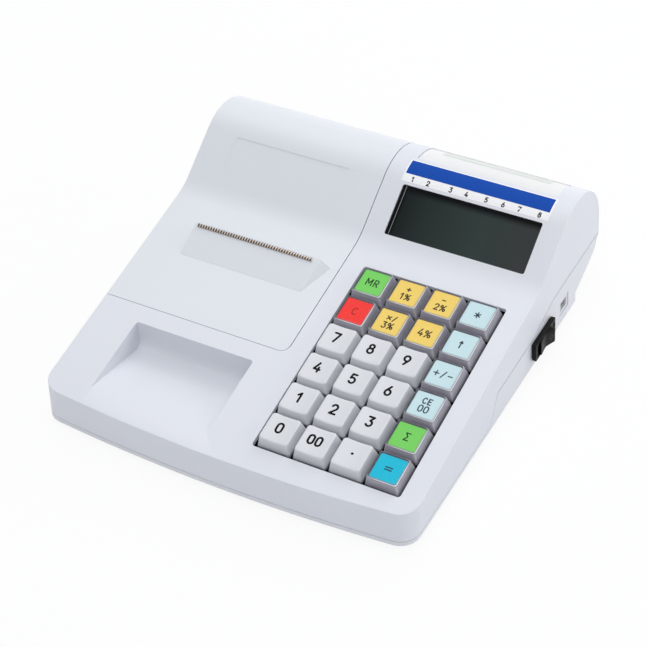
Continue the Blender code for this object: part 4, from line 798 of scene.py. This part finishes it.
def rocker_stand(run):
    """Height of the rocker's face: a straight rise to each end, rounded at the valley between."""
    return rocker_valley + rocker_lobe * (np.sqrt(run ** 2 + rocker_bend ** 2) - rocker_bend)


def rocker_top(across, along, side_of):
    """The rocker's half on one side of its pivot, 0.03 mm out."""
    run = side_of * 0.0037 + across
    return on_rocker(run, along, rocker_stand(run) + 0.00003)


# Sections across the rocker, end to end: the trim rounds off the first three and the last three.
run_steps = rocker_half * np.linspace(-1, 1, 25)
rocker_run = np.concatenate([[-rocker_half + 0.0009], run_steps, [rocker_half - 0.0009]])[:, None]
rocker_trim = np.concatenate([[0.9, 0.25, 0.0], np.zeros(21), [0.0, 0.25, 0.9]])[:, None] * 0.0012
sections = len(rocker_run)
rocker_up, rocker_out = round_outline(rocker_tall - rocker_trim[:, 0], np.full(sections, 0.5),
                                      np.full(sections, 0.0005), 5, 0)
rocker_out = np.where(rocker_out > 0, rocker_stand(rocker_run) - rocker_trim + (rocker_out - 0.5),
                      rocker_out + 0.5 - 0.0006)
rocker = lofted("rocker_cap", on_rocker(rocker_run, rocker_up, rocker_out))
rocker.data.set_sharp_from_angle(angle=math.radians(50))
finish_piece(rocker, "rocker", switch_black, "power_rocker")
mark_grey = printed_ink("moulded_mark_grey", "#3C3C40")
for mark, side_of in (("I", -1), ("O", 1)):
    sign = lettering("switch_mark_" + mark, mark, 0.0026, 0.00022, rocker_top, side_of)
    finish_piece(sign, "rocker", mark_grey)

# A flange fills the bezel at each end of the rocker. Its rings hold inset and height; the first and
# the last shrink to a small rectangle in the middle.
switch_low, switch_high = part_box("power_switch")
flange_rings = np.array([(0.6, 0.0), (0.0001, 0.0), (0, 0.0002), (0, 0.0026), (0.0003, 0.0029),
                         (0.6, 0.0029)])
inset, shut = flange_rings[:, 0], flange_rings[:, 0] > 0.5
for name, near, far in (("front", switch_low.y + 0.0007, switch_low.y + 0.0041),
                        ("rear", switch_high.y - 0.0041, switch_high.y - 0.0007)):
    up, along = round_outline(np.where(shut, 0.001, 0.0046 - inset),
                              np.where(shut, 0.001, (far - near) / 2 - inset), np.full(6, 0.0004), 4, 2)
    out = switch_high.x - 0.0034 + flange_rings[:, 1:2] + 0 * up
    points = np.stack([out, (near + far) / 2 + along, pivot[2] - up], -1)
    finish_piece(lofted("switch_flange_" + name, points, False), "housing", switch_black)

# Sockets
# The interface socket behind the switch is a pale moulding with gold-plated spring contacts, and
# the power inlet at the back is a black barrel socket with a nickel-plated centre pin.
socket_pale = moulded_abs("moulded_pbt_pale", "#E1E3E8", "#D9DCE2", 0.45, 0.0006)
jack = housing_copy("interface_jack", "socket_shell", 0.0003, socket_pale)
inlet = housing_copy("power_inlet", "inlet_shell", 0.0003,
                     moulded_nylon("moulded_nylon_inlet", "#18181A", 0.4))


def plated_metal(name, colour, shade, roughness, grain=0.004):
    """Plated or rolled metal: one metal colour with faint darker clouds and a gloss that varies."""
    made, tree, where = new_material(name)
    cloud = noise(tree, where, 1 / grain, 5.0, 0.65)
    return surfaced(made, {
        "Metallic": 1.0, "Base Color": blended(tree, cloud, colour, shade),
        "Roughness": spread(tree, cloud, 0.3, 0.7, roughness - 0.07, roughness + 0.12),
        "Normal": bumped(tree, cloud, 0.12, 0.00003)})


def ring_turns(sides):
    """The angles of a ring of points."""
    return np.linspace(0, 2 * math.pi, sides, endpoint=False)


def tube_along(name, path, radius, sides=10):
    """A round wire along a path: at each point a circle stands across the path's own direction."""
    path = np.asarray(path, float)
    ahead = np.gradient(path, axis=0)
    ahead /= np.linalg.norm(ahead, axis=1)[:, None]
    aside = np.cross(ahead, (1.0, 0.2, 0.1) if abs(ahead[0][0]) < 0.8 else (0.1, 0.2, 1.0))
    aside /= np.linalg.norm(aside, axis=1)[:, None]
    over = np.cross(ahead, aside)
    angle = ring_turns(sides)[None, :, None]
    radius = np.broadcast_to(np.asarray(radius, float).reshape(-1, 1, 1), (len(path), 1, 1))
    ring = radius * (np.cos(angle) * aside[:, None] + np.sin(angle) * over[:, None])
    return lofted(name, path[:, None] + ring)


nickel = plated_metal("plated_nickel", "#CFCDC6", "#A9A7A1", 0.22)
gold = plated_metal("plated_gold", "#D9B45F", "#B8913F", 0.25)
inlet_low, inlet_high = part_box("power_inlet")
inlet_x, inlet_z = (inlet_low.x + inlet_high.x) / 2, (inlet_low.z + inlet_high.z) / 2
pin_y = inlet_high.y - np.array([0.0088, 0.0030, 0.0027, 0.00245, 0.0024])
pin = tube_along("inlet_pin", np.stack([0 * pin_y + inlet_x, pin_y, 0 * pin_y + inlet_z], -1),
                 [0.00083, 0.00083, 0.00078, 0.0005, 0.0001], 20)
finish_piece(pin, "housing", nickel)
jack_low, jack_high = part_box("interface_jack")
contact_pitch = 0.00102
share = np.linspace(0, 1, 12)
for number in range(6):
    y = (jack_low.y + jack_high.y) / 2 + (number - 2.5) * contact_pitch
    spring = np.stack([jack_high.x - 0.0078 + 0.0058 * share, 0 * share + y,
                       jack_low.z + 0.00195 + 0.0021 * np.sin(share * 2.2)], -1)
    finish_piece(tube_along("socket_contact_%d" % number, spring, 0.00022, 8), "housing", gold)

# Feet and base screws
# Four black rubber feet are pressed into seats under the base, and four zinc-plated cross-recess
# screws hold the two housings together from below.


def moulded_rubber(name, colour):
    """Moulded rubber, and the dark strip of painted shade in the parting line: nearly matt, with grey dust in
    its grain.
    """
    made, tree, where = new_material(name)
    dust = noise(tree, where, 500.0, 4.0, 0.7)
    return surfaced(made, {
        "Roughness": 0.82, "IOR": 1.52, "Normal": bumped(tree, dust, 0.5, 0.00003),
        "Base Color": blended(tree, spread(tree, dust, 0.55, 0.85), colour, "#4A4A4C")})


def turned(name, x, y, profile, sides=40, dimple=None):
    """A profile of radius and height turned about an upright line, closed at both ends."""
    profile, angle = np.array(profile), ring_turns(sides)[None, :]
    across, along = profile[:, 0:1] * np.cos(angle), profile[:, 0:1] * np.sin(angle)
    height = profile[:, 1:2] + 0 * angle
    if dimple is not None:
        height = height + dimple(across, along)
    return lofted(name, np.stack([x + across, y + along, height], -1))


foot_rubber = moulded_rubber("moulded_rubber_black", "#1B1B1C")
for name in ("foot_front_left", "foot_front_right", "foot_rear_left", "foot_rear_right"):
    low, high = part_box(name)
    reach, top = (high.x - low.x) / 2, high.z
    foot = turned("rubber_" + name, (low.x + high.x) / 2, (low.y + high.y) / 2, [
        (0.0005, 0.0004), (0.0030, 0.0004), (0.0034, 0.0001), (0.0037, 0.0), (reach - 0.0008, 0.0),
        (reach - 0.00025, 0.00018), (reach - 0.00005, 0.0006), (reach, 0.0012), (reach, top - 0.0001),
        (reach - 0.0002, top), (0.0005, top)])
    finish_piece(foot, "housing", foot_rubber, name)

zinc = plated_metal("plated_zinc", "#C3C7CB", "#9BA0A6", 0.30, 0.002)
screw_reach, screw_tall = 0.00235, 0.0010
screw_turn = np.linspace(0.06, 1, 16)
screw_rings = np.concatenate([np.stack([screw_reach * screw_turn, 0.00035 * screw_turn ** 3], -1),
                              [[screw_reach, screw_tall], [screw_reach * 0.5, screw_tall]]])


def cross_recess(across, along):
    """Depth of the cross: whole inside either arm, with sides a sixth of a millimetre wide."""
    arm = np.minimum(np.abs(across), np.abs(along))
    reach = np.maximum(np.abs(across), np.abs(along))
    return 0.0008 * np.clip((0.00042 - arm) / 0.00016, 0, 1) * np.clip((0.00150 - reach) / 0.0005, 0, 1)


front_row, rear_row = (-0.09135, 0.00312), (0.10355, 0.0192)
for name, x, (y, face) in (("front_left", -0.09276, front_row), ("front_middle", -0.00131, front_row),
                           ("rear_left", -0.09276, rear_row), ("rear_right", 0.08734, rear_row)):
    screw = turned("screw_" + name, x, y, screw_rings + (0, face), 72, cross_recess)
    finish_piece(screw, "housing", zinc)

# Parting line shade
# A thin dark strip of painted shade fills the gap between the two housings, so that the parting
# line reads as a dark thread. It starts at the ramps of the parting line and runs round the back;
# only its edge shows.
# Each spot holds a place and the way inward; the section holds inset and height.
shade_strip_low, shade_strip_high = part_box("lower_housing")
shade_strip_side = [(-0.01235, 0.0200), (0.02705, 0.0200), (0.05305, 0.0265)]
shade_strip_spots = np.array(
    [(shade_strip_high.x, y, z, -1, 0) for y, z in shade_strip_side]
    + [(shade_strip_high.x, shade_strip_high.y, 0.0265, -1, -1), (shade_strip_low.x, shade_strip_high.y, 0.0265, 1, -1)]
    + [(shade_strip_low.x, y, z, 1, 0) for y, z in shade_strip_side[::-1]])
shade_strip_section = np.array([(0.00014, -0.00022), (0.00014, 0.00028), (0.0011, 0.00028), (0.0011, -0.00022)])
inward = np.pad(shade_strip_spots[:, 3:], ((0, 0), (0, 1)))[:, None, :]
shade_strip_path = shade_strip_spots[:, None, :3] + shade_strip_section[None, :, :1] * inward
shade_strip_path[:, :, 2] += shade_strip_section[:, 1]
# Painted shade: a dark strip standing in the gap where the parting line lies in shadow.
shade_strip = lofted("parting_shade_strip", shade_strip_path, False)
finish_piece(shade_strip, "housing", moulded_rubber("painted_parting_shade", "#4A4D52"))

# Cover hinge
# Two steel pins, ground and plated, run through the knuckles at the top of the back, and the cover
# swings back on them.


def middle_across(node):
    """A turned node's middle line, which runs across the register, as y and z."""
    low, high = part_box(node)
    return (low.y + high.y) / 2, (low.z + high.z) / 2


def turned_across(name, node, profile, sides, bored=False):
    """A profile of place across and radius turned about a node's middle line. A bored one joins its
    last ring to its first, as round a bore; the others are shut by their ends."""
    (y, z), profile, angle = middle_across(node), np.array(profile), ring_turns(sides)[None, :]
    points = np.stack([profile[:, 0:1] + 0 * angle, y + profile[:, 1:2] * np.cos(angle),
                       z + profile[:, 1:2] * np.sin(angle)], -1)
    if not bored:
        return lofted(name, points)
    faces = grid_faces(len(profile) + 1, sides, True) % (len(profile) * sides)
    return mesh_piece(name, points, faces.tolist())


def both_ends(low, high, steps, between=()):
    """A turned profile with two like ends: steps of place from the end and radius, what lies between
    the ends, and the same steps back."""
    return ([(low + far, reach) for far, reach in steps] + list(between)
            + [(high - far, reach) for far, reach in steps[::-1]])


for name in ("hinge_pin_left", "hinge_pin_right"):
    low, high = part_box(name)
    reach = (high.z - low.z) / 2
    steps = both_ends(low.x, high.x, [(0, reach * 0.3), (0, reach - 0.00025), (0.00007, reach - 0.00008),
                                      (0.00025, reach)])
    pin = finish_piece(turned_across("steel_" + name, name, steps, 32), "housing", nickel, name)

# Key base and circuit boards
# A black plate moulded with 24 towers guides the key stems over a phenolic keyboard board, and the
# main board behind it carries the logic chip, a crystal, capacitors and two smaller chips.


def coated_board(name, colour, track, pitch):
    """Phenolic board under lacquer: parallel copper tracks lift the lacquer and pale its colour."""
    made, tree, where = new_material(name)
    bend = add(tree, "TexNoise", {"Vector": where, "Scale": 55.0, "Detail": 1.0}).outputs["Color"]
    moved = add(tree, "VectorMath", {"operation": "MULTIPLY_ADD", 0: bend, 1: (0.006, 0.006, 0.0), 2: where})
    line = add(tree, "TexWave", {"Vector": moved.outputs[0], "Scale": 1 / pitch / 20, "Distortion": 0.0,
                                 "bands_direction": "X"}).outputs["Fac"]
    field = add(tree, "TexVoronoi", {"Vector": where, "Scale": 95.0, "feature": "F1"}).outputs["Color"]
    shown = maths(tree, "MULTIPLY", spread(tree, line, 0.52, 0.60), maths(tree, "GREATER_THAN", field, 0.45))
    return surfaced(made, {"Roughness": 0.28, "IOR": 1.55, "Base Color": blended(tree, shown, colour, track),
                           "Normal": bumped(tree, shown, 0.5, 0.00004)})


def cover_node(node, look):
    """Gives a CAD node that keeps its own shape a better material."""
    for slot in frame["nodes"][node].material_slots:
        slot.material = look


def block(name, low, high, edge=0.0002):
    """A moulded block between two corners: rings of a rounded rectangle that draw in at both ends."""
    low, high = np.array(low), np.array(high)
    middle, half = (low + high) / 2, (high - low) / 2
    rings = np.array([(0.6, low[2]), (edge, low[2]), (0, low[2] + edge), (0, high[2] - edge),
                      (edge * 0.3, high[2] - edge * 0.3), (edge, high[2]), (0.6, high[2])])
    inset = np.where(rings[:, 0] > 0.5, min(half[:2]) * 0.6, rings[:, 0])
    across, along = round_outline(half[0] - inset, half[1] - inset, np.full(7, min(half[:2]) * 0.12), 3, 1)
    points = np.stack([middle[0] + across, middle[1] + along, rings[:, 1:2] + 0 * across], -1)
    return lofted(name, points, False)


base_nylon = moulded_nylon("moulded_pbt_key_base", "#101012", 0.45)
cover_node("key_base", base_nylon)
cover_node("keyboard_board", coated_board("lacquered_board_keys", "#7A5A2E", "#8D6C3A", 0.0021))
cover_node("main_board", coated_board("lacquered_board_main", "#1E5B33", "#2F7A46", 0.0013))
board_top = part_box("main_board")[1].z + 0.00002
tinned = plated_metal("tinned_copper", "#D6D4CE", "#B3B1AB", 0.28)
chip_black = moulded_nylon("moulded_epoxy_black", "#17171A", 0.5)

# Chips by place, width, depth, height and legs in a row. A leg is one wire from row to row: up, over
# the shoulders and down on the other side.
leg_rise, leg_shoulder, leg_out, leg_bend = 0.0016, 0.0020, 0.0008, 0.0004
for name, x, y, wide, deep, tall, legs in (("logic_chip", 0.030, 0.052, 0.0200, 0.0072, 0.0036, 14),
                                           ("driver_chip", 0.056, 0.058, 0.0098, 0.0066, 0.0034, 8),
                                           ("memory_chip", 0.018, 0.064, 0.0066, 0.0098, 0.0034, 0)):
    front, back = y - deep / 2, y + deep / 2
    body = block(name, (x - wide / 2, front, board_top + 0.0006), (x + wide / 2, back, board_top + tall))
    finish_piece(body, "housing", chip_black)
    for number in range(legs):
        place = x - wide / 2 + wide * (number + 0.5) / legs
        path = [(place, front - leg_out, board_top), (place, front - leg_out, board_top + leg_rise),
                (place, front - leg_bend, board_top + leg_shoulder),
                (place, back + leg_bend, board_top + leg_shoulder),
                (place, back + leg_out, board_top + leg_rise), (place, back + leg_out, board_top)]
        finish_piece(tube_along("%s_leg_%d" % (name, number), path, 0.00022, 6), "housing", tinned)
can_sleeve = printed_ink("shrunk_sleeve_blue", "#23324F", 0.3)
for number, (x, y, wide, tall) in enumerate(((0.0665, 0.044, 0.0032, 0.0100), (0.0665, 0.053, 0.0032, 0.0100),
                                             (0.0600, 0.0405, 0.0025, 0.0072))):
    can = [(0.0004, 0), (wide - 0.0003, 0), (wide, 0.0003), (wide, 0.0011), (wide - 0.0003, 0.0015),
           (wide - 0.0003, 0.0018), (wide, 0.0022), (wide, tall - 0.0004), (wide - 0.0004, tall),
           (wide - 0.0006, tall), (wide - 0.0007, tall - 0.0001), (0.0004, tall - 0.0001)]
    can = turned("capacitor_%d" % number, x, y, np.array(can) + (0, board_top), 28)
    finish_piece(can, "housing", can_sleeve)
crystal = block("crystal_can", (0.0440, 0.0645, board_top + 0.0004), (0.0550, 0.0690, board_top + 0.0038),
                0.0006)
finish_piece(crystal, "housing", tinned)

# Printer
# A line printer in a folded, zinc-plated sheet steel chassis: platen roller, print head on its bar,
# stepper motor and a gear case on the right cheek. A plain paper roll lies on its spindle behind.


def marked_sheet(name, colour, shade):
    """Zinc-plated sheet steel, passivated: a spangle of soft grey patches a few millimetres wide."""
    made, tree, where = new_material(name)
    spangle = add(tree, "TexVoronoi", {"Vector": where, "Scale": 420.0, "feature": "F1", "Randomness": 1.0})
    blend = maths(tree, "MULTIPLY", spangle.outputs["Color"], noise(tree, where, 60.0, 4.0))
    return surfaced(made, {"Metallic": 1.0, "Base Color": blended(tree, blend, colour, shade),
                           "Roughness": spread(tree, blend, 0.1, 0.5, 0.28, 0.48)})


chassis = housing_copy("printer_chassis", "chassis_sheet", 0.0002,
                       marked_sheet("plated_sheet_steel", "#C6CACE", "#8F959C"))


def ground_rubber(name, ends):
    """Ground nitrile rubber on a steel shaft: matt black with fine turned lines, and metal past its
    ends."""
    made, tree, where = new_material(name)
    across = add(tree, "SeparateXYZ", {"Vector": where}).outputs["X"]
    past = maths(tree, "ABSOLUTE", maths(tree, "SUBTRACT", across, (ends[0] + ends[1]) / 2))
    shaft = maths(tree, "GREATER_THAN", past, (ends[1] - ends[0]) / 2)
    lines = add(tree, "TexNoise", {"noise_dimensions": "1D", "W": across, "Scale": 2500.0, "Detail": 2.0})
    grey = blended(tree, noise(tree, where, 160.0, 4.0), "#1C1C1D", "#3A3A3C")
    return surfaced(made, {
        "Base Color": blended(tree, shaft, grey, "#B9BCBF"), "Metallic": shaft,
        "Roughness": spread(tree, shaft, 0.0, 1.0, 0.75, 0.25),
        "Normal": bumped(tree, lines.outputs["Fac"], 0.3, 0.00002)})


rubber_left, rubber_right, shaft_reach = -0.0777, -0.0157, 0.0020
platen_low, platen_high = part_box("platen_roller")
platen_reach = (platen_high.z - platen_low.z) / 2
platen_rings = both_ends(
    platen_low.x, platen_high.x, [(0, 0.0004), (0, 0.0018), (0.0002, shaft_reach)],
    both_ends(rubber_left, rubber_right, [(0, shaft_reach), (0, 0.0058), (0.0002, platen_reach)]))
platen = turned_across("platen_rubber", "platen_roller", platen_rings, 64)
platen_rubber = ground_rubber("ground_nitrile_rubber", (rubber_left, rubber_right))
finish_piece(platen, "platen", platen_rubber, "platen_roller")

head = block("head_carrier", *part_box("print_head"), 0.0004)
finish_piece(head, "housing", chip_black, "print_head")
cover_node("gearbox", moulded_nylon("moulded_acetal_black", "#1A1A1C", 0.38))
motor_low, motor_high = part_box("feed_motor")
motor_reach = (motor_high.z - motor_low.z) / 2
groove = [(motor_low.x + 0.0068, motor_reach), (motor_low.x + 0.0070, motor_reach - 0.0003),
          (motor_low.x + 0.0074, motor_reach - 0.0003), (motor_low.x + 0.0076, motor_reach)]
motor_rings = both_ends(motor_low.x, motor_high.x,
                        [(0, 0.001), (0, motor_reach - 0.0006), (0.0006, motor_reach)], groove)
motor = turned_across("stepper_can", "feed_motor", motor_rings, 56)
finish_piece(motor, "housing", zinc, "feed_motor")

spindle_low, spindle_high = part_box("paper_spindle")
spindle_rings = both_ends(
    spindle_low.x, spindle_high.x, [(0, 0.0004), (0, 0.0017), (0.0003, shaft_reach)],
    both_ends(rubber_left, -0.0159, [(0, shaft_reach), (0, 0.0048), (0.0007, 0.0055)]))
spindle = turned_across("spindle_rod", "paper_spindle", spindle_rings, 40)
finish_piece(spindle, "housing", base_nylon, "paper_spindle")


def wound_paper(name, middle):
    """Bond paper wound on a core: rings show on the flat ends, drawn coarser than the 0.07 mm paper,
    and the outside has a soft even tooth."""
    layer = 0.0004
    made, tree, where = new_material(name)
    level = add(tree, "VectorMath", {"operation": "MULTIPLY", 0: where, 1: (0, 1, 1)}).outputs[0]
    off = add(tree, "VectorMath", {"operation": "DISTANCE", 0: level, 1: (0, middle[0], middle[1])})
    wave = maths(tree, "SINE", maths(tree, "MULTIPLY", off.outputs["Value"], 2 * math.pi / layer))
    rings = maths(tree, "MULTIPLY", wave, noise(tree, where, 90.0, 3.0))
    return surfaced(made, {
        "Roughness": 0.85, "IOR": 1.45,
        "Base Color": blended(tree, spread(tree, rings, -0.6, 0.4), "#DCD9D0", "#F1EFE9"),
        "Normal": bumped(tree, noise(tree, where, 2600.0, 2.0), 0.25, 0.00003)})


bore_reach = 0.0058
roll_low, roll_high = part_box("paper_roll")
roll_reach = (roll_high.z - roll_low.z) / 2
face_reaches = [bore_reach + (roll_reach - 0.0005 - bore_reach) * s for s in np.linspace(0, 1, 9)]
roll_steps = [(0.0005, bore_reach)] + [(0, reach) for reach in face_reaches] + [(0.0002, roll_reach)]
roll_rings = both_ends(roll_low.x, roll_high.x, roll_steps)
roll = turned_across("paper_wound", "paper_spindle", roll_rings[-1:] + roll_rings[:-1], 72, True)
roll_paper = wound_paper("wound_bond_paper", middle_across("paper_spindle"))
finish_piece(roll, "roll", roll_paper, "paper_roll")

size = {"cad": cad_box, "visual": [list(corner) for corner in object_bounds()]}
